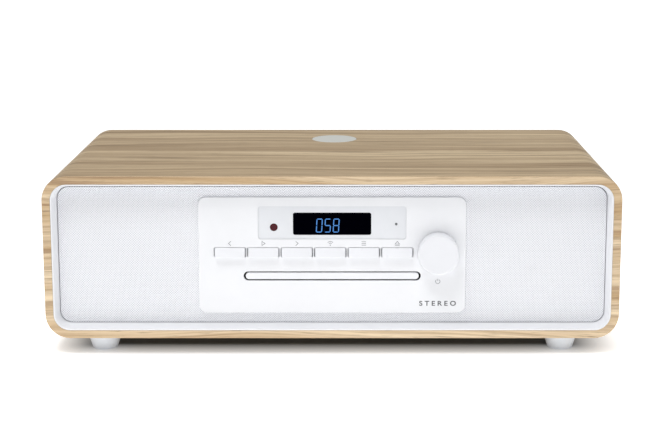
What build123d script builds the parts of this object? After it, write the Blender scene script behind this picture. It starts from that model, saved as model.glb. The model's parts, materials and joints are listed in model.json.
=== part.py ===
from build123d import *
import os
from math import acos, asin, cos, degrees, pi, radians, sin, tan

os.makedirs("parts", exist_ok=True)

# The part stands on z = 0, its front faces -Y and its centre is at x = 0, y = 0.

# Cabinet
width = 420.0
height = 121.0
depth = 214.0
wall = 9.0
corner_r = 18.0
edge_round = 0.8
foot_height = 12.5
fit = 0.1  # clearance round a glued or clipped piece
knob_proud = 2.0  # the knob stands this far ahead of the cabinet's front edge
pilot_spare = 0.5  # how much deeper each pilot hole is than what goes in it

# Front
trim_lip = 6.0  # wood that shows round the white trim
trim_depth = 14.0
trim_rim = 1.0
trim_slope_depth = 10.0
trim_lap = 0.2  # how far the trim's ring laps over the baffle's edge
trim_edge_r = 0.3
grille_gap = 0.8
grille_depth = 9.5
cloth_t = 0.6
frame_t = 3.0
baffle_t = 9.0
bay_w, bay_h = 180.0, 72.0  # opening in the baffle behind the control panel
peg_r, peg_length, peg_side, peg_up = 2.5, 5.0, 44.0, 43.0
frame_margin, frame_clear = 1.0, 1.5

# Control panel
panel_w, panel_h, panel_r = 196.0, 87.0, 6.0
panel_depth = 8.0
panel_t = 2.0
panel_gap = 0.4
bezel_w, bezel_h, bezel_r, bezel_t = 108.0, 24.5, 2.0, 1.0
bezel_recess = 0.5
bezel_up = 24.45
lens_w, lens_h, lens_r, lens_t = 57.0, 16.5, 1.2, 1.6
lens_up, lens_overlap = 23.6, 1.0
module_gap, module_side, module_rim = 0.5, 3.5, 1.5
window_x, window_up, window_r, window_t, window_gap = -42.6, 21.0, 2.8, 3.0, 0.6
led_x, led_up, led_r, led_gap = 46.8, 23.35, 0.9, 0.3
key_count, key_pitch, key_row_x, key_up = 6, 24.5, -13.6, 2.2
key_w, key_h, key_gap, key_slot_gap = 22.1, 6.8, 0.8, 0.4
key_proud, key_nose, key_corner_r, key_slot_r, key_edge_r = 3.0, 1.5, 1.0, 1.2, 0.6
key_flange_t, key_flange_gap, key_flange_side, key_flange_up = 1.0, 0.2, 0.6, 1.8
key_post_r, key_post_clear, key_post_end = 1.5, 0.2, 2.0
switch_side, switch_h = 6.0, 4.0
boss_r, boss_side, boss_low, boss_high = 2.5, 85.0, -6.5, 30.0
clip_x, clip_w, clip_t, clip_gap, clip_reach, clip_hook_w, clip_catch = 60.0, 12.0, 1.5, 0.2, 2.0, 1.6, 1.0
board_t = 1.6
board_gap = 7.0  # from the back of the panel plate to the control board
board_low, board_top_gap, board_side_gap = -9.0, 3.0, 2.0

# Volume knob and encoder
knob_x, knob_up, knob_r = 77.5, 2.6, 15.0
knob_gap, knob_chamfer, knob_wall, knob_hollow, hub_wall = 1.0, 1.0, 2.0, 5.0, 2.5
shaft_bite, shaft_end_gap = 6.0, 2.2
plunger_t, plunger_inset = 1.2, 0.5
shaft_r, shaft_clear, shaft_flat = 3.0, 0.05, 2.0
encoder_side, encoder_h, bush_wall, bush_length = 12.0, 6.0, 0.8, 2.4

# CD tray and loader
tray_up = -15.5
disc_r, disc_pocket, disc_margin = 60.3, 2.2, 2.5
tray_t, tray_rim, tray_corner_r, tray_back = 4.8, 2.7, 4.0, 3.0
hub_window_r, reading_w, reading_margin = 20.0, 34.0, 6.0
door_h, door_t, door_recess, door_overlap, door_edge_r = 5.0, 3.0, 0.2, 0.5, 0.4
slot_side_gap, slot_end_gap = 1.0, 1.5
disc_clear = 0.7  # the disc's back edge stands this far ahead of the front when the tray is open
small_disc_r, small_disc_pocket = 40.5, 0.6
rack_margin = 8.0
gear_teeth, gear_module, gear_backlash, pressure_angle = 12, 1.0, 0.12, radians(20)
gear_drop, gear_hub_drop, gear_stem_drop, gear_stem_r, gear_top_gap = 3.6, 5.0, 9.0, 1.0, 0.3
gear_hub_lip, gear_root_bite = 1.2, 0.3
motor_r, motor_clear, motor_drop = 10.0, 1.0, 5.5
rack_addendum, gear_addendum, gear_dedendum = 0.65, 0.8, 1.05
channel_depth, channel_wall, channel_clear = 1.8, 2.0, 0.7
loader_side, loader_start, loader_wall_t, loader_plate = 9.5, 1.5, 2.0, 2.0
rail = 3.5  # how far each rail reaches under the tray's edge
tray_play, side_play, loader_lip, loader_gap = 0.3, 0.5, 2.0, 2.0
leg_r, leg_side, leg_in = 5.0, 6.0, 8.0
bridge_w, bridge_t, bridge_hole_r = 36.0, 1.2, 11.0
puck_r, puck_neck_r, puck_cap_r, puck_cap_t, puck_clear, puck_lift = 14.0, 10.5, 13.0, 2.0, 0.5, 0.3
loader_drop = 16.0  # from the tray's underside to the loader's underside
gear_behind_baffle = 15.0

# Traverse, spindle and pickup
deck_t, deck_drop, deck_inset, deck_ahead, deck_behind = 2.0, 11.0, 20.3, 18.0, 78.0
deck_hole_r, deck_slot_w, deck_slot_l, deck_post_r, deck_post_in = 12.3, 32.0, 54.0, 4.0, 5.0
rod_r, rod_x, rod_drop, rod_ahead, rod_behind = 1.5, 24.0, 6.0, 6.0, 72.0
bracket_w, bracket_t, bracket_top = 6.0, 4.0, 2.5
pickup_start_behind, pickup_length, pickup_h, pickup_below, pickup_side = 15.0, 22.0, 6.0, 2.6, 3.0
lens_ring_r, lens_ring_t = 3.5, 1.2
spindle_motor_r, spindle_gap = 12.0, 0.5
table_r, table_t, table_drop, table_stem_drop = 14.5, 1.8, 5.0, 10.5
hub_r, hub_h, hub_taper = 7.4, 2.4, 12.0

# Drivers
basket_r, basket_t, cone_hole_r, driver_hole_r = 46.5, 2.5, 34.0, 39.0
basket_depth, basket_lip = 24.0, 2.5
basket_window_w, basket_window_h, basket_windows = 28.0, 16.0, 6
magnet_r, plate_r, magnet_t, plate_t = 27.0, 25.0, 10.0, 4.0
roll_r, roll_t, cone_r, cone_t = 3.0, 0.6, 27.5, 0.7
coil_r, coil_t = 11.4, 0.5
driver_screw_ring, driver_screw_r, driver_screw_head_r, driver_screw_head_t = 42.0, 1.5, 2.8, 1.4
cap_rise, cap_t, cap_lap = 4.5, 0.5, 1.1
cone_fall = 0.85  # how far the cone goes back for each mm towards its neck
land_drop = 0.8
coil_gap = 1.1  # air on each side of the voice coil in the magnet

# Rear, top and feet
rear_recess, rear_t, rear_rebate = 8.0, 4.0, 5.0
port_inset, port_up, port_r, port_wall, port_length = 60.0, 14.0, 18.0, 2.0, 88.0
flange_r, flange_t, mouth_r = 24.0, 2.5, 1.8
rear_screw_r, rear_screw_head_r, rear_screw_head_t, rear_screw_bite = 1.25, 2.4, 1.4, 9.0
rear_screw_hole_r, rear_screw_up, rear_screw_side = 1.6, 30.0, 100.0
vent_h, vent_w, vent_pitch, vent_count = 40.0, 3.0, 20.0, 6
socket_up = -30.0
mains_inset, jack_inset, aerial_inset = 60.0, 80.0, 50.0
inlet_w, inlet_h, inlet_depth, inlet_flange, inlet_flange_t, inlet_flange_r = 22.0, 13.0, 17.0, 4.0, 2.0, 2.0
socket_w, socket_h, socket_depth = 18.0, 9.0, 15.0
inlet_pin_r, inlet_pin_x, inlet_pin_length = 1.15, 4.9, 10.0
jack_bore_r, jack_length, jack_r, jack_nose, jack_block = 1.8, 14.0, 3.0, 2.0, 8.0
aerial_barrel_r, aerial_barrel_length, aerial_shank_r, aerial_shoulder = 4.75, 6.0, 5.5, 1.0
aerial_block, aerial_block_t, aerial_throat_r, aerial_pin_r, aerial_throat = 12.0, 8.0, 3.6, 1.6, 9.0
pad_r, pad_t, pad_behind_front, pad_chamfer = 18.5, 2.5, 166.0, 0.3
foot_side_inset, foot_inset, foot_top_r, foot_bottom_r, foot_bevel = 40.0, 22.0, 13.0, 9.5, 1.5
foot_screw_r, foot_screw_head_r, foot_screw_head_t, foot_screw_bite = 1.7, 3.1, 2.0, 7.0
screw_seat = 4.0

# Boards
board_start, board_rear_gap, board_loader_gap, board_wall_gap = 105.0, 18.0, 8.0, 12.0
standoff, standoff_r = 6.0, 3.0
sink_w, sink_t, sink_h, fin_t, fin_l, fin_pitch, fin_count = 60.0, 3.0, 18.0, 1.6, 22.0, 8.0, 8
filter_r, filter_h, filter_pitch, filter_count, filter_ahead = 6.0, 20.0, 20.0, 3, 26.0
core_w, core_l, core_h, core_side = 36.0, 30.0, 26.0, 18.0
reservoir_r, reservoir_h, reservoir_pitch, reservoir_side = 8.0, 24.0, 26.0, 28.0

# Derived places
front_y = knob_proud - (depth + knob_proud) / 2
mid_z = foot_height + height / 2
top_z = foot_height + height
floor_z = foot_height + wall
inner_w, inner_h, inner_r = width - 2 * wall, height - 2 * wall, corner_r - wall
trim_w, trim_h = width - 2 * trim_lip - 2 * fit, height - 2 * trim_lip - 2 * fit
trim_r = corner_r - trim_lip - fit
trim_slope = wall + trim_lap - trim_lip - trim_rim
grille_w = trim_w - 2 * (trim_rim + trim_slope + grille_gap)
grille_h = trim_h - 2 * (trim_rim + trim_slope + grille_gap)
grille_r = trim_r - trim_rim - trim_slope - grille_gap
driver_x = (panel_w + grille_w) / 4
foot_x = width / 2 - foot_side_inset
port_x = width / 2 - port_inset
mains_x, jack_x, aerial_x = mains_inset - width / 2, width / 2 - jack_inset, width / 2 - aerial_inset
bush_r = shaft_r + bush_wall
baffle_depth = trim_depth
baffle_back = baffle_depth + baffle_t
plate_back = panel_depth + panel_t
board_depth = plate_back + board_gap
key_z = mid_z + key_up
key_x = [key_row_x + (i - (key_count - 1) / 2) * key_pitch for i in range(key_count)]
tray_z = mid_z + tray_up
tray_under = tray_z - tray_t / 2
tray_top = tray_z + tray_t / 2
door_depth = panel_depth + door_recess
tray_start = door_depth + door_t
tray_w = 2 * (disc_r + tray_rim)
door_w = tray_w + 2 * door_overlap
slot_w, slot_h = door_w + 2 * slot_end_gap, door_h + 2 * slot_side_gap
loader_w = tray_w + 2 * (side_play + loader_side)
disc_depth = tray_start + disc_margin + disc_r
tray_travel = disc_depth + disc_r + disc_clear
gear_depth = baffle_back + gear_behind_baffle
tray_end = gear_depth + tray_travel + rack_margin + tray_back
pitch_r = gear_teeth * gear_module / 2
rack_root_x = tray_w / 2 - channel_wall
rack_pitch_x = rack_root_x - gear_dedendum * gear_module
gear_x = rack_pitch_x - pitch_r
loader_front = baffle_back + loader_start
loader_end = tray_end + loader_gap + loader_wall_t
loader_under = tray_under - loader_drop
loader_top = tray_top + tray_play + loader_lip
rear_front = depth - rear_recess - rear_t
rear_back = depth - rear_recess
drivers = {"left": -driver_x, "right": driver_x}


def facing(behind, x=0.0, z=mid_z):
    """Plane that faces forwards, `behind` mm behind the cabinet's front edge: x is X and y is Z."""
    return Plane(origin=(x, front_y + behind, z), x_dir=(1, 0, 0), z_dir=(0, -1, 0))


def level(z, x=0.0, behind=0.0):
    """Plane that faces up at height z, with its origin at x and `behind` mm behind the front edge."""
    return Plane(origin=(x, front_y + behind, z), x_dir=(1, 0, 0), z_dir=(0, 0, 1))


def profile_plane(x=0.0, z=mid_z):
    """Half-plane for turning about Y: local x is the radius along X and local y is the depth."""
    return Plane(origin=(x, front_y, z), x_dir=(1, 0, 0), z_dir=(0, 0, -1))


def turning_axis(x=0.0, z=mid_z):
    """Axis along Y through x and z, for pieces that are round about Y."""
    return Axis((x, front_y, z), (0, 1, 0))


# ---------------------------------------------------------------- cabinet
with BuildPart() as cabinet_shell:
    with BuildSketch(facing(0)):
        RectangleRounded(width, height, corner_r)
    extrude(amount=-depth)
    ends = cabinet_shell.faces().sort_by(Axis.Y)
    fillet(ends[0].edges() + ends[-1].edges(), edge_round)
    with BuildSketch(facing(0)):
        RectangleRounded(inner_w, inner_h, inner_r)
    extrude(amount=-depth, mode=Mode.SUBTRACT)
    with BuildSketch(facing(0)):
        RectangleRounded(trim_w + 2 * fit, trim_h + 2 * fit, trim_r + fit)
    extrude(amount=-trim_depth, mode=Mode.SUBTRACT)
    with BuildSketch(facing(rear_front)):
        RectangleRounded(inner_w + 2 * rear_rebate, inner_h + 2 * rear_rebate, inner_r + rear_rebate)
    extrude(amount=-(depth - rear_front), mode=Mode.SUBTRACT)
    with BuildSketch(level(top_z - pad_t, 0, pad_behind_front)):
        Circle(pad_r + fit)
    extrude(amount=pad_t, mode=Mode.SUBTRACT)
    foot_places = [
        (x, front_y + behind) for x in (-foot_x, foot_x) for behind in (foot_inset, depth - foot_inset)
    ]
    with BuildSketch(Plane.XY.offset(foot_height)):
        with Locations(*foot_places):
            Circle(foot_screw_r + fit)
    extrude(amount=foot_screw_bite + pilot_spare, mode=Mode.SUBTRACT)
    screw_x, screw_up = (inner_w + rear_rebate) / 2, (inner_h + rear_rebate) / 2
    rear_screw_places = [(x, z) for x in (-screw_x, screw_x) for z in (-rear_screw_up, rear_screw_up)]
    rear_screw_places += [
        (x, z) for x in (-rear_screw_side, rear_screw_side) for z in (-screw_up, screw_up)
    ]
    with BuildSketch(facing(rear_front)):
        with Locations(*rear_screw_places):
            Circle(rear_screw_r + fit / 2)
    extrude(amount=rear_screw_bite + pilot_spare, mode=Mode.SUBTRACT)
cabinet_shell.part.label = "cabinet_shell"
export_step(cabinet_shell.part, "parts/cabinet_shell.step")

with BuildPart() as front_trim:
    with BuildSketch(facing(0)):
        RectangleRounded(trim_w, trim_h, trim_r)
    extrude(amount=-trim_depth)
    fillet(front_trim.faces().sort_by(Axis.Y)[0].edges(), trim_edge_r)
    steps = ((0, trim_rim), (trim_slope_depth, trim_rim + trim_slope))
    for behind, inset in steps:
        with BuildSketch(facing(behind)):
            RectangleRounded(trim_w - 2 * inset, trim_h - 2 * inset, trim_r - inset)
    loft(mode=Mode.SUBTRACT)
    inset = trim_rim + trim_slope
    with BuildSketch(facing(trim_slope_depth)):
        RectangleRounded(trim_w - 2 * inset, trim_h - 2 * inset, trim_r - inset)
    extrude(amount=trim_slope_depth - trim_depth, mode=Mode.SUBTRACT)
front_trim.part.label = "front_trim"
export_step(front_trim.part, "parts/front_trim.step")

with BuildPart() as speaker_grille:
    with BuildSketch(facing(grille_depth)):
        RectangleRounded(grille_w, grille_h, grille_r)
        RectangleRounded(panel_w + 2 * panel_gap, panel_h + 2 * panel_gap, panel_r, mode=Mode.SUBTRACT)
    extrude(amount=-cloth_t)
speaker_grille.part.label = "speaker_grille"
export_step(speaker_grille.part, "parts/speaker_grille.step")

peg_places = [
    (side * (driver_x + out), up)
    for side in (-1, 1) for out in (-peg_side, peg_side) for up in (-peg_up, peg_up)
]
with BuildPart() as grille_frame:
    with BuildSketch(facing(grille_depth + cloth_t)):
        RectangleRounded(grille_w - 2 * frame_margin, grille_h - 2 * frame_margin, grille_r - frame_margin)
        RectangleRounded(panel_w + 4 * panel_gap, panel_h + 4 * panel_gap, panel_r, mode=Mode.SUBTRACT)
        with Locations((-driver_x, 0), (driver_x, 0)):
            Circle(basket_r + frame_clear, mode=Mode.SUBTRACT)
    extrude(amount=-frame_t)
    with BuildSketch(facing(grille_depth + cloth_t + frame_t)):
        with Locations(*peg_places):
            Circle(peg_r)
    extrude(amount=-(baffle_depth - grille_depth - cloth_t - frame_t + peg_length))
grille_frame.part.label = "grille_frame"
export_step(grille_frame.part, "parts/grille_frame.step")

driver_screw_places = [
    (x + driver_screw_ring * cos(a), driver_screw_ring * sin(a))
    for x in drivers.values() for a in (pi / 4, 3 * pi / 4, 5 * pi / 4, 7 * pi / 4)
]
with BuildPart() as front_baffle:
    with BuildSketch(facing(baffle_depth)):
        RectangleRounded(inner_w - 2 * fit, inner_h - 2 * fit, inner_r - fit)
        Rectangle(bay_w, bay_h, mode=Mode.SUBTRACT)
        with Locations((-driver_x, 0), (driver_x, 0)):
            Circle(driver_hole_r, mode=Mode.SUBTRACT)
        with Locations(*driver_screw_places):
            Circle(driver_screw_r + fit / 2, mode=Mode.SUBTRACT)
    extrude(amount=-baffle_t)
    with BuildSketch(facing(baffle_depth)):
        with Locations((-driver_x, 0), (driver_x, 0)):
            Circle(basket_r + 2 * fit)
    extrude(amount=-basket_t, mode=Mode.SUBTRACT)
    with BuildSketch(facing(baffle_depth)):
        with Locations(*peg_places):
            Circle(peg_r + fit)
    extrude(amount=-(peg_length + pilot_spare), mode=Mode.SUBTRACT)
front_baffle.part.label = "front_baffle"
export_step(front_baffle.part, "parts/front_baffle.step")

# ---------------------------------------------------------------- control panel
boss_places = [(x, z) for x in (-boss_side, boss_side) for z in (boss_low, boss_high)]
clip_places = [(x, side) for x in (-clip_x, clip_x) for side in (-1, 1)]
with BuildPart() as control_panel:
    with BuildSketch(facing(panel_depth)):
        RectangleRounded(panel_w, panel_h, panel_r)
    extrude(amount=-(baffle_depth - panel_depth))
    fillet(control_panel.faces().sort_by(Axis.Y)[0].edges(), edge_round)
    with BuildSketch(facing(plate_back)):
        RectangleRounded(panel_w - 2 * panel_t, panel_h - 2 * panel_t, panel_r - panel_t)
    extrude(amount=-(baffle_depth - plate_back), mode=Mode.SUBTRACT)
    with BuildSketch(facing(panel_depth)):
        with Locations((0, bezel_up)):
            RectangleRounded(bezel_w + 2 * fit, bezel_h + 2 * fit, bezel_r + fit)
    extrude(amount=-(bezel_recess + bezel_t), mode=Mode.SUBTRACT)
    with BuildSketch(facing(panel_depth)):
        with Locations((0, lens_up)):
            Rectangle(lens_w + 2 * lens_overlap, lens_h + 2 * lens_overlap)
        with Locations((window_x, window_up)):
            Circle(window_r + window_gap)
        with Locations((led_x, led_up)):
            Circle(led_r + led_gap)
        with Locations(*[(x, key_up) for x in key_x]):
            RectangleRounded(key_w + 2 * key_gap, key_h + 2 * key_slot_gap, key_slot_r)
        with Locations((knob_x, knob_up)):
            Circle(bush_r + panel_gap)
        with Locations((0, tray_up)):
            SlotOverall(slot_w, slot_h)
    extrude(amount=-panel_t, mode=Mode.SUBTRACT)
    with BuildSketch(facing(plate_back)):
        with Locations(*boss_places):
            Circle(boss_r)
    extrude(amount=-board_gap)
    for x, side in clip_places:
        z = side * (bay_h / 2 - clip_gap - clip_t / 2)
        with BuildSketch(facing(plate_back)):
            with Locations((x, z)):
                Rectangle(clip_w, clip_t)
        extrude(amount=-(baffle_back + clip_reach - plate_back))
        with BuildSketch(facing(baffle_back + fit)):
            with Locations((x, side * (bay_h / 2 + clip_catch - clip_hook_w / 2))):
                Rectangle(clip_w, clip_hook_w)
        extrude(amount=-(clip_reach - fit))
control_panel.part.label = "control_panel"
export_step(control_panel.part, "parts/control_panel.step")

with BuildPart() as display_bezel:
    with BuildSketch(facing(panel_depth + bezel_recess)):
        with Locations((0, bezel_up)):
            RectangleRounded(bezel_w, bezel_h, bezel_r)
        with Locations((0, lens_up)):
            RectangleRounded(lens_w + 2 * fit, lens_h + 2 * fit, lens_r + fit, mode=Mode.SUBTRACT)
        with Locations((window_x, window_up)):
            Circle(window_r + fit, mode=Mode.SUBTRACT)
        with Locations((led_x, led_up)):
            Circle(led_r + fit, mode=Mode.SUBTRACT)
    extrude(amount=-bezel_t)
display_bezel.part.label = "display_bezel"
export_step(display_bezel.part, "parts/display_bezel.step")

with BuildPart() as display_lens:
    with BuildSketch(facing(panel_depth + bezel_recess)):
        with Locations((0, lens_up)):
            RectangleRounded(lens_w, lens_h, lens_r)
    extrude(amount=-lens_t)
display_lens.part.label = "display_lens"
export_step(display_lens.part, "parts/display_lens.step")

with BuildPart() as display_module:
    with BuildSketch(facing(plate_back + module_gap)):
        with Locations((0, lens_up)):
            Rectangle(lens_w + 2 * module_side, lens_h + 2 * module_rim)
    extrude(amount=-(board_gap - module_gap))
display_module.part.label = "display_module"
export_step(display_module.part, "parts/display_module.step")

with BuildPart() as infrared_window:
    with BuildSketch(facing(panel_depth + bezel_recess)):
        with Locations((window_x, window_up)):
            Circle(window_r)
    extrude(amount=-window_t)
infrared_window.part.label = "infrared_window"
export_step(infrared_window.part, "parts/infrared_window.step")

with BuildPart() as indicator_light:
    with BuildSketch(facing(panel_depth + bezel_recess)):
        with Locations((led_x, led_up)):
            Circle(led_r)
    extrude(amount=-(board_depth - panel_depth - bezel_recess))
indicator_light.part.label = "indicator_light"
export_step(indicator_light.part, "parts/indicator_light.step")

board_high = bay_h / 2 - board_top_gap
with BuildPart() as control_board:
    with BuildSketch(facing(board_depth)):
        with Locations((0, (board_low + board_high) / 2)):
            Rectangle(bay_w - 2 * board_side_gap, board_high - board_low)
    extrude(amount=-board_t)
control_board.part.label = "control_board"
export_step(control_board.part, "parts/control_board.step")

post_reach = board_depth - key_post_end
with BuildPart() as tact_switches:
    with BuildSketch(facing(board_depth)):
        with Locations(*[(x, key_up) for x in key_x]):
            Rectangle(switch_side, switch_side)
            Circle(key_post_r + key_post_clear, mode=Mode.SUBTRACT)
    extrude(amount=switch_h)
tact_switches.part.label = "tact_switches"
export_step(tact_switches.part, "parts/tact_switches.step")

flange_depth = plate_back + key_flange_gap
key_names = ["key_previous", "key_play", "key_next", "key_pairing", "key_menu", "key_eject"]
for name, x in zip(key_names, key_x):
    with BuildPart() as key:
        with BuildSketch(facing(0, x, key_z)):
            RectangleRounded(key_w, key_h, key_corner_r)
        extrude(amount=-flange_depth)
        with BuildSketch(Plane(origin=(x, front_y, key_z), x_dir=(0, 1, 0), z_dir=(1, 0, 0))):
            with BuildLine():
                Polyline(
                    (0, -key_h), (panel_depth - key_proud - key_nose, -key_h),
                    (panel_depth - key_proud, -key_h / 2), (panel_depth, key_h / 2),
                    (panel_depth, key_h), (0, key_h), close=True,
                )
            make_face()
        extrude(amount=key_w, both=True, mode=Mode.SUBTRACT)
        fillet(key.edges().filter_by(Axis.X).sort_by(Axis.Y)[0], key_edge_r)
        with BuildSketch(facing(flange_depth, x, key_z)):
            Rectangle(key_w + 2 * key_flange_side, key_h + 2 * key_flange_up)
        extrude(amount=-key_flange_t)
        with BuildSketch(facing(flange_depth + key_flange_t, x, key_z)):
            Circle(key_post_r)
        extrude(amount=-(post_reach - flange_depth - key_flange_t))
    key.part.label = name
    export_step(key.part, f"parts/{name}.step")

# ---------------------------------------------------------------- volume knob and encoder
knob_front = -knob_proud
knob_back = panel_depth - knob_gap
with BuildPart() as volume_knob:
    with BuildSketch(facing(knob_front, knob_x, mid_z + knob_up)):
        Circle(knob_r)
    extrude(amount=-(knob_back - knob_front))
    chamfer(volume_knob.faces().sort_by(Axis.Y)[0].edges(), knob_chamfer)
    with BuildSketch(facing(knob_back, knob_x, mid_z + knob_up)):
        Circle(knob_r - knob_wall)
        Circle(shaft_r + hub_wall, mode=Mode.SUBTRACT)
    extrude(amount=knob_hollow, mode=Mode.SUBTRACT)
    with BuildSketch(facing(knob_back, knob_x, mid_z + knob_up)):
        Circle(shaft_r + shaft_clear)
        with Locations((0, shaft_flat + shaft_clear)):
            Rectangle(2 * knob_r, 2 * shaft_r, align=(Align.CENTER, Align.MIN), mode=Mode.SUBTRACT)
    extrude(amount=shaft_bite + 2 * fit, mode=Mode.SUBTRACT)
volume_knob.part.label = "volume_knob"
export_step(volume_knob.part, "parts/volume_knob.step")

shaft_end = board_depth - shaft_end_gap
with BuildPart() as encoder_shaft:
    with BuildSketch(facing(knob_back - shaft_bite, knob_x, mid_z + knob_up)):
        Circle(shaft_r)
        with Locations((0, shaft_flat)):
            Rectangle(2 * knob_r, 2 * shaft_r, align=(Align.CENTER, Align.MIN), mode=Mode.SUBTRACT)
    extrude(amount=-shaft_bite)
    with BuildSketch(facing(knob_back, knob_x, mid_z + knob_up)):
        Circle(shaft_r)
    extrude(amount=-(shaft_end - knob_back))
encoder_shaft.part.label = "encoder_shaft"
export_step(encoder_shaft.part, "parts/encoder_shaft.step")

with BuildPart() as encoder_body:
    with BuildSketch(facing(board_depth, knob_x, mid_z + knob_up)):
        Rectangle(encoder_side, encoder_side)
    extrude(amount=encoder_h)
    with BuildSketch(facing(board_depth - encoder_h, knob_x, mid_z + knob_up)):
        Circle(bush_r)
    extrude(amount=bush_length)
    with BuildSketch(facing(board_depth, knob_x, mid_z + knob_up)):
        Circle(shaft_r + 2 * shaft_clear)
    extrude(amount=board_depth, mode=Mode.SUBTRACT)
encoder_body.part.label = "encoder_body"
export_step(encoder_body.part, "parts/encoder_body.step")

with BuildPart() as encoder_plunger:
    with BuildSketch(facing(shaft_end + fit, knob_x, mid_z + knob_up)):
        Circle(shaft_r - plunger_inset)
    extrude(amount=-plunger_t)
encoder_plunger.part.label = "encoder_plunger"
export_step(encoder_plunger.part, "parts/encoder_plunger.step")

# ---------------------------------------------------------------- CD tray and its drive
with BuildPart() as tray_door:
    with BuildSketch(facing(door_depth)):
        with Locations((0, tray_up)):
            SlotOverall(door_w, door_h)
    extrude(amount=-door_t)
    fillet(tray_door.faces().sort_by(Axis.Y)[0].edges(), door_edge_r)
tray_door.part.label = "tray_door"
export_step(tray_door.part, "parts/tray_door.step")

half_base = pi * gear_module / 4 - gear_backlash / 2
rack_tip, rack_foot = rack_addendum * gear_module, gear_dedendum * gear_module
tip_half = half_base - rack_tip * tan(pressure_angle)
foot_half = half_base + rack_foot * tan(pressure_angle)
tooth_pitch = pi * gear_module
rack_start = gear_depth - rack_margin
rack_end = gear_depth + tray_travel + rack_margin
teeth_before = int(rack_margin / tooth_pitch)
teeth_after = int((tray_travel + rack_margin) / tooth_pitch)
channel_inner_x = gear_x - pitch_r - gear_addendum * gear_module - channel_clear
with BuildPart() as cd_tray:
    with BuildSketch(level(tray_under, 0, tray_start)):
        Rectangle(tray_w, tray_end - tray_start, align=(Align.CENTER, Align.MIN))
    extrude(amount=tray_t)
    fillet(cd_tray.edges().filter_by(Axis.Z).sort_by(Axis.Y)[-2:], tray_corner_r)
    for radius, below in ((disc_r, disc_pocket), (small_disc_r, disc_pocket + small_disc_pocket)):
        with BuildSketch(level(tray_top, 0, disc_depth)):
            Circle(radius)
        extrude(amount=-below, mode=Mode.SUBTRACT)
    with BuildSketch(level(tray_under, 0, disc_depth)):
        Circle(hub_window_r)
        Rectangle(reading_w, disc_r - reading_margin, align=(Align.CENTER, Align.MIN))
    extrude(amount=tray_t, mode=Mode.SUBTRACT)
    with BuildSketch(level(tray_under, 0, rack_start)):
        with Locations(((channel_inner_x + rack_root_x) / 2, 0)):
            Rectangle(rack_root_x - channel_inner_x, rack_end - rack_start, align=(Align.CENTER, Align.MIN))
    extrude(amount=channel_depth, mode=Mode.SUBTRACT)
    with BuildSketch(level(tray_under, rack_pitch_x, gear_depth)):
        for n in range(-teeth_before, teeth_after):
            y = (n + 0.5) * tooth_pitch
            with BuildLine():
                Polyline(
                    (rack_foot, y - foot_half), (-rack_tip, y - tip_half),
                    (-rack_tip, y + tip_half), (rack_foot, y + foot_half), close=True,
                )
            make_face()
    extrude(amount=channel_depth)
cd_tray.part.label = "cd_tray"
export_step(cd_tray.part, "parts/cd_tray.step")

base_r = pitch_r * cos(pressure_angle)
tip_r = pitch_r + gear_addendum * gear_module
root_r = pitch_r - gear_dedendum * gear_module


def flank_angle(radius):
    """Half the angle that a gear tooth spans at a radius, in radians, by the involute's formula."""
    roll = acos(min(1.0, base_r / max(radius, base_r)))
    half = pi / (2 * gear_teeth) - gear_backlash / (2 * pitch_r)
    return half + (tan(pressure_angle) - pressure_angle) - (tan(roll) - roll)


flank_r = [root_r - gear_root_bite, base_r] + [base_r + (tip_r - base_r) * k / 4 for k in range(1, 5)]
flank = [(r * cos(flank_angle(r)), r * sin(flank_angle(r))) for r in flank_r]
motor_top = tray_under - motor_drop
with BuildPart() as tray_gear:
    with BuildSketch(level(tray_under - gear_drop, gear_x, gear_depth)):
        Circle(root_r)
        with PolarLocations(0, gear_teeth):
            with BuildLine():
                Polyline(*flank, *[(x, -y) for x, y in reversed(flank)], close=True)
            make_face()
    extrude(amount=gear_drop + channel_depth - gear_top_gap)
    with BuildSketch(level(tray_under - gear_hub_drop, gear_x, gear_depth)):
        Circle(tip_r + gear_hub_lip)
    extrude(amount=gear_hub_drop - gear_drop)
    with BuildSketch(level(tray_under - gear_stem_drop, gear_x, gear_depth)):
        Circle(gear_stem_r)
    extrude(amount=gear_stem_drop - gear_hub_drop)
tray_gear.part.label = "tray_gear"
export_step(tray_gear.part, "parts/tray_gear.step")

with BuildPart() as loading_motor:
    with BuildSketch(level(loader_under + loader_plate, gear_x, gear_depth)):
        Circle(motor_r)
    extrude(amount=motor_top - loader_under - loader_plate)
    with BuildSketch(level(tray_under - gear_stem_drop - gear_top_gap, gear_x, gear_depth)):
        Circle(gear_stem_r + shaft_clear)
    extrude(amount=gear_stem_drop, mode=Mode.SUBTRACT)
loading_motor.part.label = "loading_motor"
export_step(loading_motor.part, "parts/loading_motor.step")

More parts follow.
